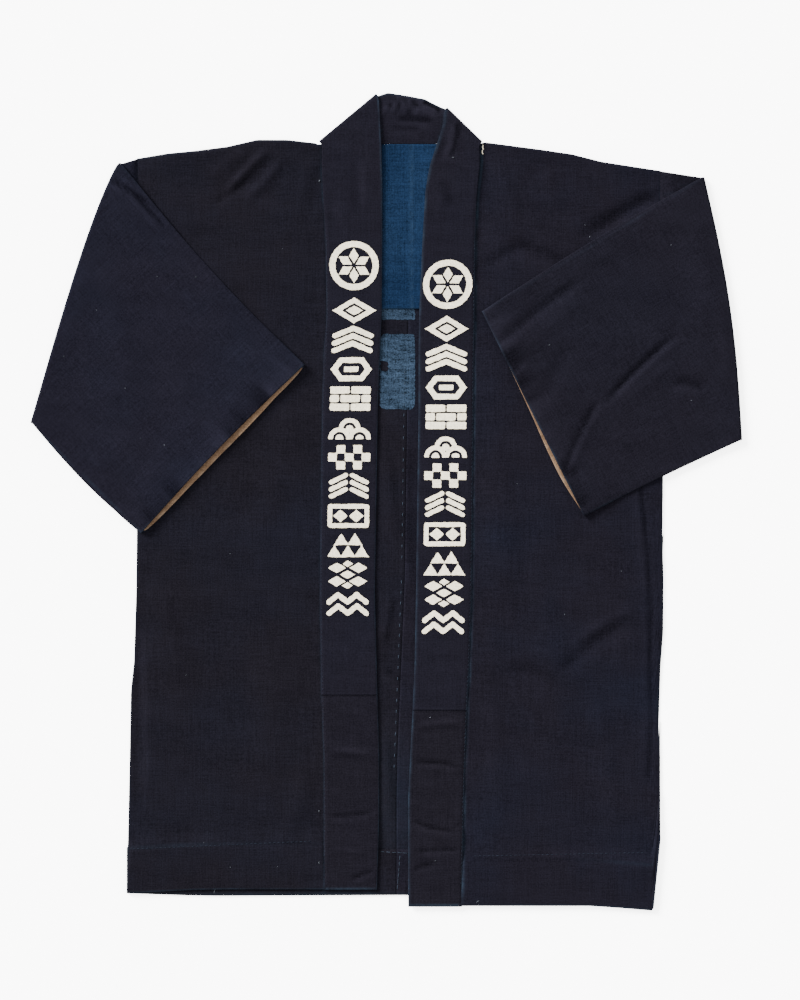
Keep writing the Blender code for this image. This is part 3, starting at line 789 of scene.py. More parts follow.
def ruling(band, sewn_y, free_y, across):
    """One straight line of points from the sewn edge to the free edge."""
    sewn = np.array([look(band.sewn, sewn_y), sewn_y])
    free = np.array([look(band.free, free_y), free_y])
    places = sewn + (free - sewn) * across[:, None]
    width = np.linalg.norm(free - sewn)
    top = look(band.top, sewn_y + (min(free_y, sewn_y) - sewn_y) * across)
    z = band_height(places[:, 0], places[:, 1], across * width, (1 - across) * width, top)
    return np.column_stack([places, z])


def band_rows(band, low, high):
    """Level rulings of a front stretch."""
    ups = low + (high - low) * graded(high - low, 0.0012, 0.0028 * BAND_QUICK)
    return [ruling(band, y, y, ACROSS_BAND) for y in ups]


print(len(ACROSS_BAND), "points in each ruling")

# %% Wear, and light and shade painted on the collar

GATHER_SLANT = 0.45


def neck_pull(x, y):
    """The slanting gathers behind the neck, from -1 to 1, strongest at the free edge."""
    slant = x - GATHER_SLANT * (y - neck_y)
    return waver(slant, y * 0.3, 0.0048, 35) * smooth((y - 0.436) / 0.014)


def band_wear(points):
    """Dye rubbed off along both edges, the two folds, the top edge and the hem."""
    x, y, z = points.T
    worn = np.zeros(len(x))
    for band in (LEFT_BAND, RIGHT_BAND):
        beside = (x - MIDDLE_X) * band.sign > 0
        inner = 0.0034 if band.sign > 0 else 0.0016
        lower = near(np.abs(x - look(band.free, y)), inner) * (z > LAYER)
        outer = near(np.abs(x - look(band.sewn, y)), 0.0015) * (z > LAYER)
        outer *= 0.9 if band.sign > 0 else 0.3
        worn = np.maximum(worn, beside * np.maximum(0.6 * lower, outer))
        sewn_end, free_end = band.fold
        along = (free_end - sewn_end) / np.linalg.norm(free_end - sewn_end)
        off = np.abs((x - sewn_end[0]) * along[1] - (y - sewn_end[1]) * along[0])
        worn = np.maximum(worn, 0.35 * near(off, 0.0026) * beside * (y > sewn_end[1] - 0.004))
    inside = (x > top_edge.at[0]) & (x < top_edge.at[-1])
    worn = np.maximum(worn, near(np.abs(y - look(top_edge, x)), 0.0036) * inside)
    low = band_low + 0.001
    worn = np.maximum(worn, 0.6 * near(y - low - np.where(x > MIDDLE_X, 0.0, 0.0185), 0.0022))
    return worn * (0.7 + 0.5 * waver(x, y, 0.017, 31))


def band_shade_and_tone(points):
    """Painted highlight and shade on creases and gathers, paler cloth towards the top behind the neck, and
    at each piecing seam a dark line of painted shade with a paler line of painted highlight above it.
    """
    x, y = points[:, :2].T
    over_back = (y > neck_y) & (x > look(LEFT_BAND.free, y)) & (x < look(RIGHT_BAND.free, y))
    # Behind the neck: painted highlight and shade on the creases, and paler towards the band's top edge.
    pulled = crease_shading(x, y, NECK_CREASES, 0.0004) + 0.4 * smooth((y - 0.440) / 0.012)
    # The gathers are painted paler on their ridges and darker in their hollows.
    pulled += 1.2 * neck_pull(x, y)
    fold = np.where(over_back, pulled, crease_shading(x, y, BAND_CREASES, 0.0012))
    fold += 0.15 * waver(x, y, 0.012, 23) + 0.08 * waver(x, y, 0.005, 24)
    for sign in (-1, 1):
        beside = (x - MIDDLE_X) * sign > 0
        # At each piecing seam: painted shade in the seam's groove and a painted highlight above it.
        fold -= 0.9 * near(np.abs(y - piecing[sign] + 0.0008), 0.0022) * beside
        fold += 0.5 * near(np.abs(y - piecing[sign] - 0.0022), 0.0018) * beside
    return fold


print("the piecing seams lie at y =", [round(1000 * piecing[sign]) for sign in (-1, 1)], "mm")

# %% [markdown]
# ## The band behind the neck
# At the top the band turns over two slanting folds and lies behind the neck with its inner face
# up. Its sewn edge is shorter than its free edge there, which pulls it into slanting gathers.

# %% The collar round the neck

LEVEL_TO = 0.270
BAND_ROLL = 0.0019


def neck_stretch(band):
    """From the level rulings to the fold, leaning over as they go. Then the fold itself."""
    sewn_end, free_end = band.fold
    count = int(62 / BAND_QUICK)
    rows = []
    for step in range(1, count + 1):
        share = step / count
        sewn_y = LEVEL_TO + (sewn_end[1] - LEVEL_TO) * share
        free_y = LEVEL_TO + (free_end[1] - LEVEL_TO) * share
        rows.append(ruling(band, sewn_y, free_y, ACROSS_BAND))
    along = (free_end - sewn_end) / np.linalg.norm(free_end - sewn_end)
    outward = np.array([-along[1], along[0], 0.0]) * -band.sign
    if outward[1] < 0:
        outward = -outward
    reach = near(np.linspace(0, 0.03, count)[::-1], 0.03)
    for row, share in zip(rows, reach):
        row[:, :3] -= outward * (BAND_ROLL + BAND_WALL / 2) * share
        row[:, 2] = row[:, 2] * (1 - share) + (BAND_WALL / 2 + 2 * BAND_ROLL) * share
    back = rows[-1].copy()
    back[:, 2] = BAND_WALL / 2 + 0.0001
    return rows, turned_over(rows[-1], back, outward, 7), back


def back_neck(left_back, right_back):
    """The part of the band that stands behind the neck and lies with its inner face up."""
    count = 46
    rows = []
    for step in range(1, count):
        share = step / count
        sewn_x = left_back[0, 0] + (right_back[0, 0] - left_back[0, 0]) * share
        free_x = left_back[-1, 0] + (right_back[-1, 0] - left_back[-1, 0]) * share
        settled = smooth(min(share, 1 - share) * count / 3.5)
        between = left_back[0, 1] * (1 - share) + right_back[0, 1] * share
        sewn_y = neck_y + (between - neck_y) * (1 - settled)
        chord = left_back[-1, 1] * (1 - share) + right_back[-1, 1] * share
        free_y = chord + (look(top_edge, free_x) - 0.0008 - chord) * settled
        shares = (left_back[:, 0] - left_back[0, 0]) / (left_back[-1, 0] - left_back[0, 0])
        x = sewn_x + (free_x - sewn_x) * shares
        y = sewn_y + (free_y - sewn_y) * shares
        length = math.hypot(free_x - sewn_x, free_y - sewn_y)
        lift = 0.0012 * smooth(shares * length / 0.02) * settled
        pulled = creases(x, y, NECK_CREASES) + 0.0008 * neck_pull(x, y)
        z = BAND_WALL / 2 + 0.0003 + lift + np.maximum(pulled, -lift - 0.0002)
        z -= 0.0004 * near((1 - shares) * length, 0.0025)
        rows.append(np.column_stack([x, y, z]))
    return rows


left_front, left_turn, left_back = neck_stretch(LEFT_BAND)
right_front, right_turn, right_back = neck_stretch(RIGHT_BAND)
rows = band_rows(LEFT_BAND, piecing[-1] + 0.0003, LEVEL_TO) + left_front + left_turn + [left_back]
rows += back_neck(left_back, right_back) + [right_back] + right_turn[::-1] + right_front[::-1]
rows += band_rows(RIGHT_BAND, piecing[1] + 0.0003, LEVEL_TO)[::-1]
print(len(rows), "rulings from one piecing seam round the neck to the other")

# %% Building the collar

NAVY_BAND = tone(3.2, 2.9, 4.5)
LOWER_NAVY = tone(3.05, 2.72, 4.1)
LOWER_FADED = tone(3.2, 2.85, 3.9)
band_cloth = woven("indigo_collar", NAVY_BAND, BLUE_BLACK, WORN_BLUE, fading=0.18, slub=0.4, seed=3.1)
lower_cloth = woven("indigo_collar_lower", LOWER_NAVY, LOWER_FADED, WORN_BLUE, fading=0.5, seed=4.4)


def band_piece(name, rows, material):
    points, faces = join_rows(rows)
    wear, fold = band_wear(points), band_shade_and_tone(points)
    return new_piece(name, points, faces, material, BAND_WALL, wear, fold)


upper = band_piece("collar_upper_cloth", rows, band_cloth)
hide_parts("collar_upper")

for label, band, body in (("left", LEFT_BAND, left_body), ("right", RIGHT_BAND, right_body)):
    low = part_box(f"collar_lower_{label}")[0].y + 0.0008
    rows = band_rows(band, low, piecing[band.sign] - 0.0002)
    piece = band_piece(f"collar_lower_{label}_cloth", rows, lower_cloth)
    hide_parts(f"collar_lower_{label}")

# %% [markdown]
# ## The sleeves
# A sleeve is a tube of cloth that lies flat. It leaves the armhole, turns back at a slanting
# fold and lies over the front with its cuff towards the middle. The rings of the tube follow
# it all the way. Each ring is the sleeve's back cloth from top to bottom and its front cloth
# back up again, so the two cloths, their rounded edges and the fold come out of one rule.

# %% Corners of the sleeves

Corners = namedtuple("Corners", "side armhole fold cuff")


def read_sleeve(name, side):
    low = SECOND + CLOTH
    armhole_x = look(LEFT.outer if side < 0 else RIGHT.outer, 0.2) - side * SEAM_OVERLAP
    under = cut([name], X, armhole_x + side * 0.0015, high=low)
    armhole = np.array([[armhole_x, under[:, Y].max()], [armhole_x, under[:, Y].min()]])
    fold = np.array([far_corner(name, side, 0.6), far_corner(name, side, -0.3)])
    cuff = np.array([far_corner(name, -side, 0.0), far_corner(name, -side * 0.2, -1.0)])
    return Corners(side, armhole, fold, cuff)


LEFT_CORNERS = read_sleeve("sleeve_left", -1)
RIGHT_CORNERS = read_sleeve("sleeve_right", 1)
print("cuff of", round(1000 * np.linalg.norm(LEFT_CORNERS.cuff[0] - LEFT_CORNERS.cuff[1])), "mm")

# %% Bowed edges and creases of the sleeves
# A bow is how far each edge swells or dips between its corners. The lip is how far the lower
# cloth of the cuff reaches past the upper one.

Bow = namedtuple("Bow", "fold fold_lean top bottom cuff lip lip_peak lip_power")
LEFT_BOW = Bow(0.0075, 0.62, -0.0065, 0.0060, -0.0035, 0.0066, 0.52, 0.40)
RIGHT_BOW = Bow(0.0082, 1.0, 0.0040, -0.0010, 0.0005, 0.0044, 0.76, 1.5)

LEFT_SLEEVE_CREASES = (
    Crease(-0.325, 0.372, -0.272, 0.340, 0.0022, -0.0032, 0.0026),
    Crease(-0.292, 0.352, -0.252, 0.312, 0.0022, -0.0030, 0.0006),
    Crease(-0.306, 0.371, -0.268, 0.343, 0.0030, 0.0014, 0.0014),
    Crease(-0.295, 0.325, -0.200, 0.232, 0.0085, -0.0013, 0.004),
    Crease(-0.270, 0.300, -0.150, 0.170, 0.0100, 0.0012, 0.005),
    Crease(-0.330, 0.260, -0.300, 0.120, 0.0160, 0.0010, 0.008),
    Crease(-0.360, 0.180, -0.290, 0.060, 0.0170, 0.0011, 0.006),
    Crease(-0.250, 0.180, -0.215, 0.080, 0.0140, 0.0009, -0.006),
    Crease(-0.225, 0.200, -0.150, 0.150, 0.0120, 0.0008, 0.004),
    Crease(-0.310, 0.080, -0.262, 0.010, 0.0110, 0.0009, 0.004),
)
RIGHT_SLEEVE_CREASES = (
    Crease(0.126, 0.178, 0.230, 0.258, 0.0046, -0.0017, 0.0040),
    Crease(0.150, 0.170, 0.240, 0.240, 0.0070, 0.0006, 0.004),
    Crease(0.198, 0.018, 0.247, 0.120, 0.0034, -0.0019, 0.0050),
    Crease(0.250, 0.112, 0.336, 0.194, 0.0032, -0.0025, 0.0030),
    Crease(0.262, 0.104, 0.330, 0.160, 0.0070, 0.0008, 0.003),
    Crease(0.330, 0.138, 0.366, 0.128, 0.0050, -0.0016, 0.002),
    Crease(0.142, 0.142, 0.158, 0.162, 0.0030, -0.0012, 0.001),
    Crease(0.340, 0.320, 0.372, 0.200, 0.0130, 0.0012, 0.006),
    Crease(0.210, 0.260, 0.290, 0.300, 0.0120, 0.0010, 0.004),
    Crease(0.260, 0.060, 0.340, 0.070, 0.0120, 0.0010, 0.006),
    Crease(0.180, 0.110, 0.215, 0.180, 0.0100, -0.0009, 0.004),
    Crease(0.385, 0.260, 0.396, 0.130, 0.0080, 0.0009, 0.003),
)
print(len(LEFT_SLEEVE_CREASES), "and", len(RIGHT_SLEEVE_CREASES), "creases on the sleeves")

# %% Heights of the sleeves


def sleeve_creases(corners):
    return LEFT_SLEEVE_CREASES if corners.side < 0 else RIGHT_SLEEVE_CREASES


def unit(start, end):
    """The way from one place to another, with a length of 1."""
    return (end - start) / np.linalg.norm(end - start)


def away(start, end, other):
    """The way that is square to a line and leads away from a point."""
    along = unit(start, end)
    square = np.array([along[1], -along[0]])
    return square if square @ (start - other) > 0 else -square


def off_line(x, y, start, end):
    """How far places lie from a line."""
    along = unit(start, end)
    return np.abs((x - start[0]) * along[1] - (y - start[1]) * along[0])


def gathers(corners, x, y):
    """From -1 to 1: short gathers that run square to the cuff and die out away from it."""
    to_cuff = off_line(x, y, *corners.cuff)
    along = unit(*corners.cuff)
    place = (x - corners.cuff[0][0]) * along[0] + (y - corners.cuff[0][1]) * along[1]
    reach = 0.034 + 0.022 * waver(place, 0.5, 0.021, 46)
    return waver(place, to_cuff * 0.15, 0.0095, 47) * near(to_cuff, reach)


def sleeve_height(corners, x, y):
    """What the creases and puckers add to the folded-over sleeve."""
    added = creases(x, y, sleeve_creases(corners))
    slow = 0.55 * waver(x, y, 0.080, 41) + 0.30 * waver(x, y, 0.033, 43) + 0.10 * waver(x, y, 0.015, 45)
    added += 0.0011 * (slow + 0.4)
    added += 0.0009 * gathers(corners, x, y)
    to_bottom = off_line(x, y, corners.fold[1], corners.cuff[1])
    added += 0.0004 * waver(x * 0.8, y * 0.8, 0.009, 49) * near(to_bottom, 0.018)
    return added


FOLD_ROLL = 0.0032
# Heights of the lower and the upper cloth on the way from the fold (0) to the cuff (1).
Rise = namedtuple("Rise", "share lower upper")
RISE = (
    Rise(0.00, 2 * FOLD_ROLL - SECOND, 2 * FOLD_ROLL - FLOOR),
    Rise(0.16, THIRD + 0.0004, FOURTH + 0.0005),
    Rise(0.35, THIRD, FOURTH),
    Rise(0.75, THIRD, FOURTH + 0.0006),
    Rise(0.90, THIRD + 0.0006, FOURTH + 2.1 * LAYER),
    Rise(1.00, THIRD + 0.0014, FOURTH + 2.7 * LAYER),
)
print("the cuff's two cloths lie at", [round(1000 * z, 2) for z in RISE[-1][1:]], "mm")

# %% Rings of a sleeve


def flat_ring(backs, fronts, across):
    """Closes two cloths into a ring, with a half turn at each end."""
    across = np.array([*across, 0.0])
    below = [row[0] for row in turned_over(backs[-1:], fronts[-1:], across)]
    above = [row[0] for row in turned_over(fronts[:1], backs[:1], -across)]
    return np.concatenate([backs, below, fronts[::-1], above])


def lip_shape(bow, shares):
    """How far the lower cloth of the cuff reaches past the upper one, as a share of its most."""
    hump = np.sin(math.pi * shares ** (math.log(0.5) / math.log(bow.lip_peak)))
    uneven = 1 + 0.18 * waver(shares, 0.5, 0.09, 48)
    return (np.maximum(hump, 0) ** bow.lip_power * uneven)[:, None]


def ring_line(top, bottom, shares):
    """Places from the top edge of the sleeve to its bottom edge, clear of both by the wall."""
    across = unit(top, bottom)
    margin = WALL / 2 + 0.0006
    first, last = top + across * margin, bottom - across * margin
    return first + (last - first) * shares[:, None], across


def fold_arch(bow, shares):
    return np.sin(math.pi * shares**bow.fold_lean)[:, None]


def rolled_fold(corners):
    """The fold's two ends, set back so that the rolled cloth ends at the outline."""
    return corners.fold - away(*corners.fold, corners.cuff[0]) * (FOLD_ROLL + WALL / 2)


def under_rings(corners, bow, shares):
    """The part under the coat's front, from the armhole out to the fold."""
    out_of_fold = away(*corners.fold, corners.cuff[0])
    fold_top, fold_bottom = rolled_fold(corners)
    rings = []
    for share in (0.0, 0.35, 0.7, 1.0):
        top = corners.armhole[0] + (fold_top - corners.armhole[0]) * share
        bottom = corners.armhole[1] + (fold_bottom - corners.armhole[1]) * share
        places, across = ring_line(top, bottom, shares)
        places = places + out_of_fold * bow.fold * fold_arch(bow, shares) * share
        backs = np.column_stack([places, np.full(len(places), FLOOR)])
        fronts = np.column_stack([places, np.full(len(places), SECOND)])
        rings.append(flat_ring(backs, fronts, across))
    return rings


def droop(corners, places):
    """How far the sleeve sinks where it lies past the body, with nothing under it."""
    beyond = np.abs(places[:, 0]) - abs(corners.armhole[1][0])
    below_edge = away(corners.armhole[1], corners.fold[1], corners.armhole[0])
    below = (places - corners.armhole[1]) @ below_edge
    return 0.0017 * smooth((np.minimum(beyond, below) - 0.012) / 0.03)


def over_rings(corners, bow, shares, quick):
    """The part folded over onto the front, from the fold to the cuff."""
    out_of_fold = away(*corners.fold, corners.cuff[0])
    out_of_cuff = away(*corners.cuff, corners.fold[0])
    up = unit(corners.fold[1], corners.fold[0])
    fold_top, fold_bottom = rolled_fold(corners)
    cuff_arch = np.sin(math.pi * shares)[:, None]
    lip = lip_shape(bow, shares)
    ways, lows, highs = np.array(RISE).T
    rings = []
    for share in graded(0.33, 0.0016, 0.0036 * quick)[1:]:
        swell = math.sin(math.pi * share)
        top = fold_top + (corners.cuff[0] - fold_top) * share + up * bow.top * swell
        bottom = fold_bottom + (corners.cuff[1] - fold_bottom) * share - up * bow.bottom * swell
        places, across = ring_line(top, bottom, shares)
        bend = out_of_fold * bow.fold * fold_arch(bow, shares) * (1 - share)
        places = places + (bend + out_of_cuff * bow.cuff * cuff_arch * share)
        ahead = places + out_of_cuff * bow.lip * lip * smooth(2 * share - 1)
        low, high = np.interp(share, ways, lows), np.interp(share, ways, highs)
        at_edges = 0.25 + 0.75 * smooth(np.minimum(shares, 1 - shares) / 0.02)
        lift = sleeve_height(corners, places[:, 0], places[:, 1]) * (smooth(share / 0.06) * at_edges)
        lift = np.maximum(lift, -0.0011 * smooth((1 - share) / 0.32))
        sunk = droop(corners, ahead)
        backs = np.column_stack([places, high + lift - sunk])
        followed = low + 0.30 * np.minimum(lift, 0.0010) * (1 - share)
        fronts = np.column_stack([ahead, followed - sunk])
        rings.append(flat_ring(backs, fronts, across))
    return rings


print("the lips of the cuffs reach", [round(1000 * bow.lip, 1) for bow in (LEFT_BOW, RIGHT_BOW)], "mm")

# %% Wear, and light and shade painted on a sleeve


def off_fold(corners, bow, shares, points):
    """How far points lie from the bowed line of the fold."""
    out_of_fold = away(*corners.fold, corners.cuff[0])
    fold_line = corners.fold[0] + (corners.fold[1] - corners.fold[0]) * shares[:, None]
    fold_line = fold_line + out_of_fold * bow.fold * fold_arch(bow, shares) - corners.fold[0]
    along = unit(*corners.fold)
    flat = points[:, :2] - corners.fold[0]
    bulge = np.interp(flat @ along, fold_line @ along, fold_line @ out_of_fold)
    return np.abs(flat @ out_of_fold - bulge)


def sleeve_paint(corners, bow, shares, points):
    """Wear along the fold, the cuff and both long edges, with painted highlight and shade on the creases
    and gathers of the upper cloth.
    """
    x, y, z = points.T
    on_top = z > THIRD
    wear = 0.4 * near(off_fold(corners, bow, shares, points), 0.0030)
    wear = np.maximum(wear, 0.5 * near(off_line(x, y, *corners.cuff), 0.0026) * on_top)
    wear = np.maximum(wear, 0.35 * near(off_line(x, y, corners.fold[1], corners.cuff[1]), 0.0022))
    wear = np.maximum(wear, 0.12 * near(off_line(x, y, corners.fold[0], corners.cuff[0]), 0.0026))
    wear *= 0.65 + 0.6 * waver(x, y, 0.018, 51)
    # A painted highlight on each crease ridge and painted shade in each hollow.
    fold = crease_shading(x, y, sleeve_creases(corners), 0.0024)
    fold += 0.13 * waver(x, y, 0.033, 43) + 0.12 * waver(x, y, 0.013, 45) + 0.08 * waver(x, y, 0.005, 9)
    # The gathers at the cuff are painted the same way: paler on their ridges, darker in their hollows.
    fold += 1.3 * gathers(corners, x, y)
    # Off the upper cloth the left sleeve gets no fold value, and the right sleeve is painted darker all
    # over.
    return wear, np.where(on_top, fold, -0.5 * (corners.side > 0))


left_lean = math.atan2(*(LEFT_CORNERS.cuff[0] - LEFT_CORNERS.fold[0])[::-1])
right_lean = math.atan2(*(RIGHT_CORNERS.cuff[0] - RIGHT_CORNERS.fold[0])[::-1])
leans = [round(math.degrees(lean)) for lean in (left_lean, right_lean)]
print("the sleeves' top edges run at", leans, "degrees from level")

# %% Building the sleeves


def sleeve_piece(name, corners, bow, material):
    quick = 1.0
    shares = graded(0.29, 0.0014, 0.0036 * quick)
    rings = under_rings(corners, bow, shares)
    over = rings[-1].copy()
    over[:, Z] = 2 * FOLD_ROLL - over[:, Z]
    outward = np.array([*away(*corners.fold, corners.cuff[0]), 0.0])
    rings += turned_over(rings[-1], over, outward, 9) + [over]
    rings += over_rings(corners, bow, shares, quick)
    points, faces = join_rows(rings, tube=True)
    wear, fold = sleeve_paint(corners, bow, shares, points)
    piece = new_piece(name + "_cloth", points, faces, material, WALL, wear, fold)
    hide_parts(name)
    return piece


LEFT_SLEEVE_NAVY, LEFT_SLEEVE_BLUE = tone(3.2, 2.95, 4.8), tone(2.7, 3.3, 6.0)
RIGHT_SLEEVE_NAVY, RIGHT_SLEEVE_BLUE = tone(3.1, 2.8, 4.3), tone(2.7, 2.8, 4.6)
left_cotton = woven(
    "indigo_sleeve_left", LEFT_SLEEVE_NAVY, LEFT_SLEEVE_BLUE, WORN_BLUE, turn=-left_lean, seed=5.2
)
right_cotton = woven(
    "indigo_sleeve_right", RIGHT_SLEEVE_NAVY, RIGHT_SLEEVE_BLUE, WORN_BLUE, turn=-right_lean, seed=6.7
)
left_sleeve = sleeve_piece("sleeve_left", LEFT_CORNERS, LEFT_BOW, left_cotton)
right_sleeve = sleeve_piece("sleeve_right", RIGHT_CORNERS, RIGHT_BOW, right_cotton)

# %% [markdown]
# ## Cuff facings
# A strip of brown cloth is sewn inside each cuff. Only its edge shows, where the cuff's lower
# cloth reaches out past the upper one. It is a short ring, one layer inside the sleeve's own,
# and it runs a hair past the lower cloth so that the brown covers the lip.

# %% Building the facings

FACING_DEPTH = 0.028
FACING_BROWN = tone(68.0, 42.0, 25.0)
FACING_DARK = tone(28.0, 17.0, 11.0)
FACING_WORN = tone(190.0, 150.0, 110.0)


def facing_piece(name, corners, bow, material):
    shares = graded(0.29, 0.0016, 0.0040)
    out_of_cuff = away(*corners.cuff, corners.fold[0])
    lip = lip_shape(bow, shares)
    arch = np.sin(math.pi * shares)[:, None]
    rings = []
    for depth in np.append(np.linspace(FACING_DEPTH, 0.002, 12), [0.0010, 0.0003]):
        top, bottom = corners.cuff - out_of_cuff * depth
        across = unit(top, bottom)
        first, last = top + across * 0.0030, bottom - across * 0.0030
        places = first + (last - first) * shares[:, None] + out_of_cuff * bow.cuff * arch
        ahead = places + out_of_cuff * bow.lip * lip
        uneven = 0.0003 * waver(ahead[:, 0], ahead[:, 1], 0.011, 61)
        rise = 1 - depth / FACING_DEPTH
        upper_height = np.full(len(places), FOURTH + 0.0005 + 0.0012 * rise)
        backs = np.column_stack([places - out_of_cuff * 0.0006, upper_height])
        fronts = np.column_stack([ahead, THIRD + 0.0012 + 0.0010 * rise + uneven * rise])
        rings.append(flat_ring(backs, fronts, across))
    points, faces = join_rows(rings, tube=True)
    reach = (points[:, :2] - corners.cuff[0]) @ out_of_cuff
    patchy = 0.6 + waver(points[:, 0], points[:, 1], 0.008, 63)
    wear = 0.22 * near(np.abs(reach - reach.max()), 0.004) * patchy
    piece = new_piece(name + "_cloth", points, faces, material, WALL, wear)
    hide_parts(name)
    return piece


brown = woven("brown_facing", FACING_BROWN, FACING_DARK, FACING_WORN, fading=0.6, seed=7.0)
facing_left = facing_piece("cuff_facing_left", LEFT_CORNERS, LEFT_BOW, brown)
facing_right = facing_piece("cuff_facing_right", RIGHT_CORNERS, RIGHT_BOW, brown)

# %% [markdown]
# ## The shoulder lining
# A piece of brighter blue cloth is sewn inside the back under the neck. It is one plain
# sheet on the back, with the coarse yarn and the seam of its own cloth.

# %% Building the lining

LINING_SEAM_X = 0.0290
LINING_BLUE = tone(2.05, 5.2, 13.0)
LINING_FADED = tone(3.8, 8.4, 18.4)
LINING_WORN = tone(11.0, 20.0, 33.0)


def lining_rows(low, high):
    """Level rows of the lining, with a low ridge along its seam."""
    x = low.x + (high.x - low.x) * graded(high.x - low.x, 0.0012, 0.0030)
    rows = []
    for y in low.y + (high.y - low.y) * graded(high.y - low.y, 0.0010, 0.0030):
        place = np.full(len(x), y)
        slow = 0.5 * waver(x, place, 0.030, 71) + 0.3 * waver(x, place, 0.011, 73)
        z = SECOND + 0.0002 + 0.00025 * slow + 0.0004 * near(np.abs(x - LINING_SEAM_X), 0.0022)
        z -= 0.0003 * near(place - low.y, 0.002)
        rows.append(np.column_stack([x, place, z]))
    return rows


def lining_paint(points, bottom):
    """Wear at the seam and the lower edge, coarse level yarn, and painted shade that is darkest on the left
    and pales to the right.
    """
    x, y = points[:, :2].T
    wear = 0.55 * near(np.abs(x - LINING_SEAM_X), 0.0010) * (0.75 + 0.7 * waver(x, y, 0.006, 74))
    wear += 0.14 * near(np.abs(x - LINING_SEAM_X + 0.0030), 0.0014)
    wear = np.maximum(wear, 0.2 * near(y - bottom, 0.0022))
    # Painted shade on the left side, fading out towards the right.
    fold = 0.55 * smooth((x + 0.010) / 0.060) - 0.25
    fold = fold + 0.3 * waver(x * 0.3, y, 0.0035, 75) + 0.25 * waver(x, y, 0.012, 76)
    return wear, fold


points, faces = join_rows(lining_rows(lining_low, lining_high))
wear, fold = lining_paint(points, lining_low.y)
blue = woven("blue_lining", LINING_BLUE, LINING_FADED, LINING_WORN, fading=0.7, slub=0.6, seed=8.1)
lining = new_piece("shoulder_lining_cloth", points, faces, blue, WALL, wear, fold)
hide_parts("shoulder_lining")

# %% [markdown]
# ## The resist-dyed marks
# The marks down the collar are left undyed: paste kept the dye off them. They are part of the
# cloth's colour, but a mesh patch gives them cleaner edges than a texture could. Each mark is
# a shape given as a distance: below zero inside, above zero outside. Shapes are joined by
# taking the least distance. A small unevenness is added, as paste leaves, and the zero line
# is then traced cell by cell into a patch that lies on the collar. The designs are plain
# ornament: lozenges, chevrons, bricks, wave crests, scales and petals.

# %% Shapes as distances, in millimetres


def bar(p, q, x0, y0, x1, y1, width):
    """A stroke of this width between two places, with round ends."""
    dx, dy = x1 - x0, y1 - y0
    share = np.clip(((p - x0) * dx + (q - y0) * dy) / (dx * dx + dy * dy), 0, 1)
    return np.hypot(p - x0 - share * dx, q - y0 - share * dy) - width / 2


def block(p, q, x, y, width, height, corner=0.6):
    """A rectangle with rounded corners, round a middle at x, y."""
    aside, above = np.abs(p - x) - width / 2, np.abs(q - y) - height / 2
    over = np.hypot(np.maximum(aside + corner, 0), np.maximum(above + corner, 0))
    return over + np.minimum(np.maximum(aside, above) + corner, 0) - corner


def lozenge(p, q, x, y, width, height):
    share = np.abs(p - x) / width + np.abs(q - y) / height - 0.5
    return share * width * height / math.hypot(width, height)


def disc(p, q, x, y, radius):
    return np.hypot(p - x, q - y) - radius


def joined(*shapes):
    return np.minimum.reduce(shapes)


def without(shape, *others):
    """A shape with others cut out of it."""
    return np.maximum(shape, -joined(*others))


def inside_line(shape, width):
    """The stroke of this width just inside a shape's edge."""
    return np.abs(shape + width / 2) - width / 2


probe = np.array([0.0, 8.0, 12.0])
print("distances from a disc of 10 mm:", disc(probe, 0.0 * probe, 0, 0, 10))

# %% The first six designs

STROKE = 5.4


def nested_lozenges(p, q):
    return joined(inside_line(lozenge(p, q, 0, 0, 46, 27), STROKE * 0.85), lozenge(p, q, 0, 0, 17, 10))


def stacked_chevrons(p, q):
    arms = []
    for low in (-11.6, -3.6, 4.4):
        arms += [bar(p, q, side * 19.5, low, 0, low + 8.0, 5.0) for side in (-1, 1)]
    return joined(*arms)


def honeycomb(p, q):
    cell = np.maximum(np.abs(q) - 12.5, np.abs(p) * 0.80 + np.abs(q) * 0.60 - 17.5)
    return joined(inside_line(cell, STROKE), block(p, q, 0, 0, 15, 5.0))


def wave_crests(p, q):
    shapes = []
    for x, y in ((-10.8, -11.5), (10.8, -11.5), (0, -1.5)):
        ring = inside_line(disc(p, q, x, y, 11.8), 4.4)
        crest = joined(ring, disc(p, q, x, y, 4.0))
        below = -12.0 - q if y < -5 else (np.abs(p) * 0.55 - (q + 5.0)) * 0.85
        shapes.append(np.maximum(crest, below))
    return joined(*shapes)


def bricks(p, q):
    long_ones = [block(p, q, x, y, 20.5, 7.2, 1.2) for x in (-11.3, 11.3) for y in (-9.2, 9.2)]
    short_ones = [block(p, q, x, 0, 9.4, 7.2, 1.2) for x in (-16.9, 16.9)]
    return joined(block(p, q, 0, 0, 20.5, 7.2, 1.2), *long_ones, *short_ones)


def small_checks(p, q):
    cells = []
    for x in range(-2, 3):
        cells += [block(p, q, x * 9.0, y * 8.6, 8.8, 8.4) for y in (-1, 0, 1) if (x + y) % 2 == 0]
    return joined(*cells)


print("strokes of the marks are about", STROKE, "mm wide")

# %% The other designs


def feathers(p, q):
    """Slanting bars that meet along the middle, as in arrow feathers."""
    bars = []
    for low in (-10.6, -3.0, 4.6):
        bars += [bar(p, q, side * 19, low, side * 3.4, low + 7.6, 4.4) for side in (-1, 1)]
    return joined(*bars)


def bordered_lozenges(p, q):
    border = inside_line(block(p, q, 0, 0, 44, 25, 3.0), 4.4)
    return joined(border, lozenge(p, q, -8.5, 0, 15, 13), lozenge(p, q, 8.5, 0, 15, 13))


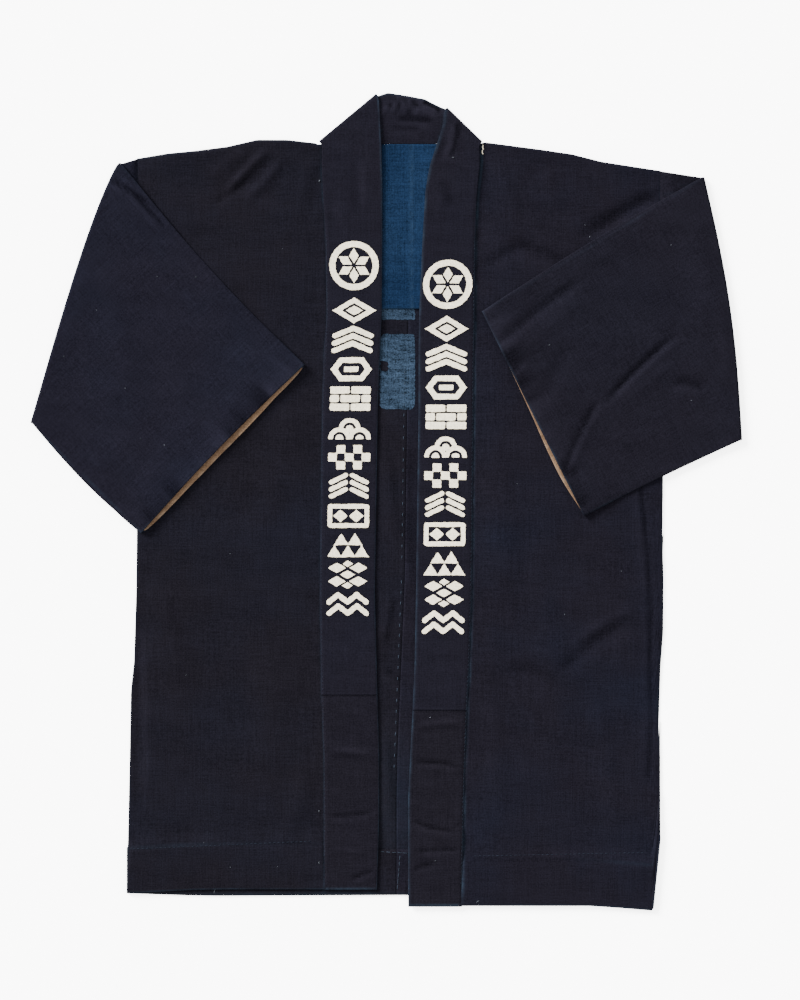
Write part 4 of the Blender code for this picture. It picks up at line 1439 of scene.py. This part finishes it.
def small_scales(p, q):
    shapes = []
    for x, y in ((-14.6, -12.4), (0, -12.4), (14.6, -12.4), (-7.3, 0.5), (7.3, 0.5)):
        shapes.append(np.maximum(y - q, np.abs(p - x) * 0.83 + (q - y - 12.0) * 0.52))
    return joined(*shapes)


def petals(p, q):
    leaves = [lozenge(p, q, x, y, 18.6, 10.6) for x in (-11.6, 11.6) for y in (-7.2, 7.2)]
    tips = [lozenge(p, q, 0, y, 11, 6.4) for y in (-11.6, 11.6)]
    return joined(lozenge(p, q, 0, 0, 15.6, 8.6), *leaves, *tips)


def zigzags(p, q):
    shapes = []
    corners = [(-20, -4), (-10, 4), (0, -4), (10, 4), (20, -4)]
    for lift in (-6.0, 6.0):
        for start, end in zip(corners, corners[1:]):
            shapes.append(bar(p, q, start[0], start[1] + lift, end[0], end[1] + lift, 4.9))
    return joined(*shapes)


def badge(p, q):
    """The round mark above the others: a broad ring round six leaves."""
    ring = inside_line(disc(p, q, 0, 0, 28.0), 6.4)
    leaves = []
    for turn in range(6):
        angle = math.pi * turn / 3 + math.pi / 6
        along, aside = math.cos(angle), math.sin(angle)
        u, v = p * along + q * aside - 11.4, q * along - p * aside
        leaves.append(lozenge(u, v, 0, 0, 17.0, 10.2))
    return joined(ring, *leaves)


DESIGNS = (nested_lozenges, stacked_chevrons, honeycomb, bricks, wave_crests, small_checks, feathers,
           bordered_lozenges, small_scales, petals, zigzags)
print(len(DESIGNS), "designs and a badge for each side of the collar")

# %% Tracing a shape into a patch

CELL = 0.9
EDGES = ((0, 1), (1, 3), (3, 2), (2, 0))


def traced(shape, width, height, cell=CELL, seed=0, uneven=0.35, size=1.0):
    """Points and faces, in millimetres, of the area where a shape's distance is below zero."""
    ps = np.arange(-width / 2, width / 2 + cell, cell)
    qs = np.arange(-height / 2, height / 2 + cell, cell)
    p, q = np.meshgrid(ps, qs)
    field = size * shape(p / size, q / size) - 0.25 + uneven * waver(p, q, 2.6, 81 + seed)
    field = field + 0.6 * uneven * waver(p, q, 1.2, 83 + seed)
    points, faces, known = [], [], {}

    def point(key, x, y):
        if key not in known:
            known[key] = len(points)
            points.append((x, y))
        return known[key]

    inside = field < 0
    touched = inside[:-1, :-1] | inside[:-1, 1:] | inside[1:, :-1] | inside[1:, 1:]
    for j, i in zip(*np.nonzero(touched)):
        corners = ((j, i), (j, i + 1), (j + 1, i), (j + 1, i + 1))
        face = []
        for a, b in EDGES:
            first, second = corners[a], corners[b]
            if inside[first]:
                face.append(point(first, p[first], q[first]))
            if inside[first] != inside[second]:
                share = field[first] / (field[first] - field[second])
                x = p[first] + (p[second] - p[first]) * share
                y = q[first] + (q[second] - q[first]) * share
                face.append(point((min(first, second), max(first, second)), x, y))
        if len(face) >= 3:
            faces.append(face)
    return np.array(points), faces


def gathered(patches):
    """Several patches as one mesh's points and faces."""
    points, faces, start = [], [], 0
    for some, cells in patches:
        points.append(some)
        faces += [[start + i for i in face] for face in cells]
        start += len(some)
    return np.concatenate(points), faces


print("the badge takes", len(traced(badge, 60, 60)[1]), "cells of", CELL, "mm")

# %% Laying the marks on the collar

MARK_LIFT = 0.00035
BADGE_Y = {-1: 0.2705, 1: 0.2490}
FIRST_MARK = {-1: 0.2190, 1: 0.1980}
MARK_PITCH = 0.0337
MARK_SIZE = 1.07


def on_band(band, flat, y0):
    """Places a flat patch, in millimetres, across the middle of the band at a height up it."""
    y = y0 + flat[:, 1] / 1000
    sewn, free = look(band.sewn, y), look(band.free, y)
    middle = (sewn + free) / 2
    x = middle + flat[:, 0] / 1000
    to_sewn, to_free = np.abs(x - sewn), np.abs(x - free)
    z = band_height(x, y, to_sewn, to_free, look(band.top, y)) + BAND_WALL / 2 + MARK_LIFT
    return np.column_stack([x, y, z])


def mark_cloth(name, colour, stained, grain=0.35):
    return woven(name, colour, stained, colour, fading=0.55, slub=grain, seed=9.0)


undyed = mark_cloth("undyed_marks", tone(405.0, 366.0, 282.0), tone(320.0, 290.0, 220.0))
for label, band in (("left", LEFT_BAND), ("right", RIGHT_BAND)):
    sign = band.sign
    flat, cells = traced(badge, 60, 60, seed=sign)
    patches = [(on_band(band, flat, BADGE_Y[sign]), cells)]
    for count, design in enumerate(DESIGNS):
        flat, cells = traced(design, 54, 34, seed=count + sign, size=MARK_SIZE)
        patches.append((on_band(band, flat, FIRST_MARK[sign] - count * MARK_PITCH), cells))
    points, faces = gathered(patches)
    marks = new_piece(f"collar_marks_{label}", points, faces, undyed)

# %% The mark dyed on the back, seen from the inside and from under the coat


def back_mark(p, q):
    """A bar over a tall block with a notch, between two blocks that hold lozenges."""
    notch = block(p, q, -15, -8, 9, 12, 1)
    middle = joined(block(p, q, 0, 52, 40, 12, 2.0), without(block(p, q, 0, -14, 40, 86, 6.0), notch))
    sides = [block(p, q, side * 92, 0, 96, 118, 10) for side in (-1, 1)]
    windows = [lozenge(p, q, side * 92, 0, 78, 96) for side in (-1, 1)]
    cores = [lozenge(p, q, side * 92, 0, 42, 52) for side in (-1, 1)]
    return joined(middle, without(joined(*sides), *windows), *cores)


BACK_MARK_X, BACK_MARK_Y = 0.0125, 0.1630
flat, cells = traced(back_mark, 300, 140, cell=2.0, seed=5, uneven=0.9)
x, y = BACK_MARK_X + flat[:, 0] / 1000, BACK_MARK_Y + flat[:, 1] / 1000
faint = mark_cloth("mark_seen_through", tone(7.9, 12.9, 21.0), tone(5.2, 8.4, 14.6), 1.1)
flecks = 1.1 * waver(x, y * 0.7, 0.0019, 77) + 0.8 * waver(x, y, 0.0060, 78)
inner_face = back_height(x, y) + WALL / 2 + 0.00025
through = new_piece("back_mark_inside", np.column_stack([x, y, inner_face]), cells, faint, fold=flecks)
outer_face = np.full(len(x), 0.00006)
under_cells = [face[::-1] for face in cells]
under = new_piece("back_mark_outside", np.column_stack([x, y, outer_face]), under_cells, undyed)

# %% [markdown]
# ## Stitches, threads and lint
# What makes a coat look sewn and used is small: running stitches in the centre seam, round the
# collar and along the hems, loose ends of thread, and specks of lint. Each is a short bent
# capsule. They are joined into one mesh for each kind, since hundreds of separate objects would
# be hard to keep in hand.

# %% Short threads


def thread(path, thickness, sides=6):
    """A tube along a path of points, closed at its ends."""
    path = np.array(path, float)
    along = np.gradient(path, axis=0)
    along /= np.linalg.norm(along, axis=1, keepdims=True)
    aside = np.cross(along, [0.0, 0.0, 1.0])
    aside /= np.maximum(np.linalg.norm(aside, axis=1, keepdims=True), 1e-9)
    above = np.cross(aside, along)
    angles = np.arange(sides) * 2 * math.pi / sides
    size = np.full(len(path), thickness / 2)
    size[[0, -1]] *= 0.35
    rings = [path[k] + size[k] * (np.outer(np.cos(angles), aside[k]) + np.outer(np.sin(angles), above[k]))
             for k in range(len(path))]
    points, faces = join_rows(rings, tube=True)
    last = len(points)
    faces = faces.tolist() + [list(range(sides))[::-1], list(range(last - sides, last))]
    return points, faces


def stitch_line(start, end, length, pitch, lift_of, thickness=0.0006, seed=0):
    """Running stitches from one place to another, each a shallow arch of thread."""
    start, end = np.array(start), np.array(end)
    whole = np.linalg.norm(end - start)
    way = (end - start) / whole
    found = []
    for k in range(int(whole / pitch)):
        jog = 0.12 * pitch * waver(k * 1.0 + 0.5, 0.3, 1.0, seed)
        first = start + way * (k * pitch + jog)
        places = first + way * np.linspace(0, length, 5)[:, None]
        z = lift_of(places[:, 0], places[:, 1]) + thickness * np.array([-0.3, 0.35, 0.5, 0.35, -0.3])
        found.append(thread(np.column_stack([places, z]), thickness))
    return found


def thread_piece(name, threads, material):
    points, faces = gathered(threads)
    return new_piece(name, points, faces, material)


def yarn(name, colour, shade, seed):
    """Thread has no edges to wear, so its worn colour is its own."""
    return woven(name, colour, shade, colour, seed=seed)


trial = stitch_line((0.0, 0.0), (0.1, 0.0), 0.004, 0.012, lambda x, y: 0.0 * x)
print(len(trial), "stitches go into 100 mm of seam")

# %% Stitches of the centre seam and the back hem

SEAM_INSET = 0.0035
CENTRE_RUNS = ((-0.085, 0.150), (-0.315, -0.090))


def back_top(x, y):
    return back_height(x, y) + WALL / 2


def top_of_turn(x, y):
    """The upper face of the turned-up back hem."""
    return back_height(x, y) + TURN_STEP + WALL / 2


def beside_centre(y):
    return float(look(LEFT.centre, y)) - SEAM_INSET, y


stitches = []
for low, high in CENTRE_RUNS:
    run = stitch_line(beside_centre(high), beside_centre(low), 0.0042, 0.0125, back_top, seed=low)
    stitches += run
hem_y = look(LEFT.back_hem, 0.0) + HEM_DEPTH - 0.0020
start, end = (-0.008, hem_y), (0.026, hem_y - 0.0020)
stitches += stitch_line(start, end, 0.0064, 0.0066, top_of_turn, 0.00045, 3)
start, end = (0.0155, hem_y - 0.004), (0.0118, hem_y - 0.050)
stitches += stitch_line(start, end, 0.0064, 0.0068, top_of_turn, 0.0005, 4)
thread_blue = yarn("stitch_thread", tone(15.0, 20.0, 28.0), tone(10.0, 14.0, 21.0), 1.5)
sewing = thread_piece("seam_stitches", stitches, thread_blue)

# %% Finding the surface

bpy.context.view_layer.update()
graph = bpy.context.evaluated_depsgraph_get()


def surface(x, y):
    """The height of whatever lies uppermost at a place."""
    hit, where, *_ = bpy.context.scene.ray_cast(graph, Vector((x, y, 0.1)), Vector((0, 0, -1)))
    return where.z if hit else 0.0


def loose_thread(x, y, size, turn, thickness):
    """A bent end of thread lying on the cloth. Its size is in millimetres."""
    steps = np.linspace(-0.5, 0.5, 5)
    bent = 0.35 * min(size, 2.4) * (0.25 - steps**2) * 4
    px = x + (steps * size * math.cos(turn) - bent * math.sin(turn)) / 1000
    py = y + (steps * size * math.sin(turn) + bent * math.cos(turn)) / 1000
    pz = [surface(a, b) + thickness * 0.4 for a, b in zip(px, py)]
    return thread(np.column_stack([px, py, pz]), thickness)


print("the right collar's upper face is at", round(1000 * surface(0.07, 0.0), 1), "mm")

# %% Lint and loose ends

Speck = namedtuple("Speck", "x y size")
LINT = (
    Speck(-0.219, 0.257, 1.5), Speck(-0.263, 0.258, 1.1), Speck(-0.333, 0.219, 1.1),
    Speck(-0.370, 0.166, 1.1), Speck(-0.300, 0.130, 1.2), Speck(-0.255, 0.064, 1.4),
    Speck(-0.282, 0.072, 1.0), Speck(0.233, 0.304, 1.5), Speck(0.187, 0.179, 1.4),
    Speck(0.350, 0.116, 1.1), Speck(0.228, 0.317, 1.0), Speck(0.327, 0.294, 1.1),
    Speck(0.050, -0.248, 1.3), Speck(0.056, -0.413, 1.1), Speck(-0.179, -0.420, 1.2),
    Speck(-0.210, -0.392, 1.0), Speck(-0.125, -0.420, 1.1), Speck(0.0765, 0.395, 1.7),
    Speck(0.150, 0.020, 1.0), Speck(0.205, -0.130, 1.0), Speck(-0.180, -0.060, 1.0),
    Speck(-0.230, -0.200, 1.0), Speck(0.270, -0.080, 1.0), Speck(-0.120, 0.290, 1.0),
)
lint = []
for count, speck in enumerate(LINT):
    lint.append(loose_thread(speck.x, speck.y, speck.size * 1.2, count * 2.4, 0.00040 * speck.size))
Loose = namedtuple("Loose", "x y size turn thickness")
ENDS = (
    Loose(0.0572, 0.4100, 3.2, 0.3, 0.0008),
    Loose(-0.0765, 0.3680, 2.6, 1.3, 0.0009),
    Loose(-0.1970, -0.4480, 6.0, 1.2, 0.0005),
    Loose(0.1050, -0.4600, 4.0, 0.8, 0.0005),
    Loose(-0.0770, -0.3560, 2.2, 1.6, 0.0007),
    Loose(-0.0770, -0.4150, 2.2, 1.6, 0.0007),
)
for end in ENDS:
    lint.append(loose_thread(*end))
print(len(LINT), "specks of lint and", len(ENDS), "loose ends")

# %% The pale thread at the right shoulder

SHOULDER_THREAD = (
    Loose(0.1113, 0.4068, 5.6, 1.64, 0.0011),
    Loose(0.1108, 0.4014, 5.6, 1.68, 0.0010),
)
at_shoulder = thread_piece("shoulder_thread", [loose_thread(*part) for part in SHOULDER_THREAD], undyed)

# %% Stitches of the front hems and the collar

HEM_RUNS = (
    (-1, (-0.297, -0.3995), (-0.079, -0.3900)),
    (1, (0.100, -0.4075), (0.300, -0.4035)),
)
INSIDE_COLLAR = 0.0013


def on_cloth(x, y):
    return np.array([surface(a, b) for a, b in zip(x, y)])


tacking = []
for side, start, end in HEM_RUNS:
    tacking += stitch_line(start, end, 0.0036, 0.0052, on_cloth, 0.00045, seed=side)
for band in (LEFT_BAND, RIGHT_BAND):
    heights = np.linspace(0.300, band_low + 0.022, 9)
    line = np.column_stack([look(band.sewn, heights) - band.sign * INSIDE_COLLAR, heights])
    for start, end in zip(line, line[1:]):
        tacking += stitch_line(start, end, 0.0032, 0.0046, on_cloth, 0.00036, seed=start[1])
dull_blue = yarn("hem_thread", tone(7.0, 8.8, 13.0), tone(5.0, 6.4, 10.0), 1.9)
hem_sewing = thread_piece("hem_stitches", tacking, dull_blue)
pale = yarn("pale_lint", tone(40.0, 44.0, 50.0), tone(26.0, 30.0, 36.0), 2.5)
specks = thread_piece("lint_and_thread_ends", lint, pale)

# %% [markdown]
# ## Floor, light and camera
# The coat is seen from straight above on white. A broad light at the upper left makes the
# small shadows fall to the lower right, and the bright surroundings fill them. Flat cloth
# needs the main light low enough to graze it, or the creases disappear. Near-black cloth wants
# strong light, and a white floor under it would still look grey, so the floor glows a little.

# %% Floor

FLOOR_REACH = 60.0
FLOOR_WHITE = (0.95, 0.95, 0.95, 1.0)
FLOOR_GLOW = 3.0


def floor_plane():
    """A white square under the coat, wide enough to have no edge in sight from low down."""
    mesh = bpy.data.meshes.new("floor")
    corners = [(x * FLOOR_REACH, y * FLOOR_REACH, 0) for x, y in ((-1, -1), (1, -1), (1, 1), (-1, 1))]
    mesh.from_pydata(corners, [], [(0, 1, 2, 3)])
    material = bpy.data.materials.new("pale_floor")
    material.use_nodes = True
    shader = material.node_tree.nodes["Principled BSDF"]
    shader.inputs["Base Color"].default_value = FLOOR_WHITE
    shader.inputs["Roughness"].default_value = 0.9
    shader.inputs["Specular IOR Level"].default_value = 0.0
    shader.inputs["Emission Color"].default_value = (1.0, 1.0, 1.0, 1.0)
    shader.inputs["Emission Strength"].default_value = FLOOR_GLOW
    mesh.materials.append(material)
    plane = bpy.data.objects.new("floor", mesh)
    bpy.context.scene.collection.objects.link(plane)
    plane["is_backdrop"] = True


floor_plane()
print("the floor is", 2 * FLOOR_REACH, "m wide")

# %% Light

SURROUNDINGS = 3.7
TOWARDS_SUN = (-1.0, 0.8, 0.52)
SUN_STRENGTH = 28.0
SUN_SPREAD = 22.0


def soft_sun(name, towards, strength, spread):
    """A far light, even over the whole floor. Its shadows are as soft as its spread in degrees."""
    light = bpy.data.lights.new(name, "SUN")
    light.energy = strength
    light.angle = math.radians(spread)
    lamp = bpy.data.objects.new(name, light)
    lamp.rotation_euler = (-Vector(towards)).to_track_quat("-Z", "Y").to_euler()
    bpy.context.scene.collection.objects.link(lamp)


world = bpy.context.scene.world or bpy.data.worlds.new("surroundings")
bpy.context.scene.world = world
world.use_nodes = True
background = world.node_tree.nodes["Background"]
background.inputs["Color"].default_value = (1.0, 1.0, 1.0, 1.0)
background.inputs["Strength"].default_value = SURROUNDINGS
soft_sun("key", TOWARDS_SUN, SUN_STRENGTH, SUN_SPREAD)
height_of_sun = math.atan2(TOWARDS_SUN[2], math.hypot(*TOWARDS_SUN[:2]))
print("the sun stands", round(math.degrees(height_of_sun)), "degrees above the floor")

# %% Camera

EYE = (0.0155, 0.0014, 2.7155)
lens = bpy.data.cameras.new("camera")
lens.type = "PERSP"
lens.lens = 85.0
lens.sensor_width = 36.0
eye = bpy.data.objects.new("camera", lens)
eye.location = EYE
bpy.context.scene.collection.objects.link(eye)
bpy.context.scene.camera = eye
print("the camera looks down from", EYE[2], "m")

# %% Last, the size of what was built

low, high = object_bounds()
print("built box in mm:", [round(1000 * v, 1) for v in (*low, *high)])
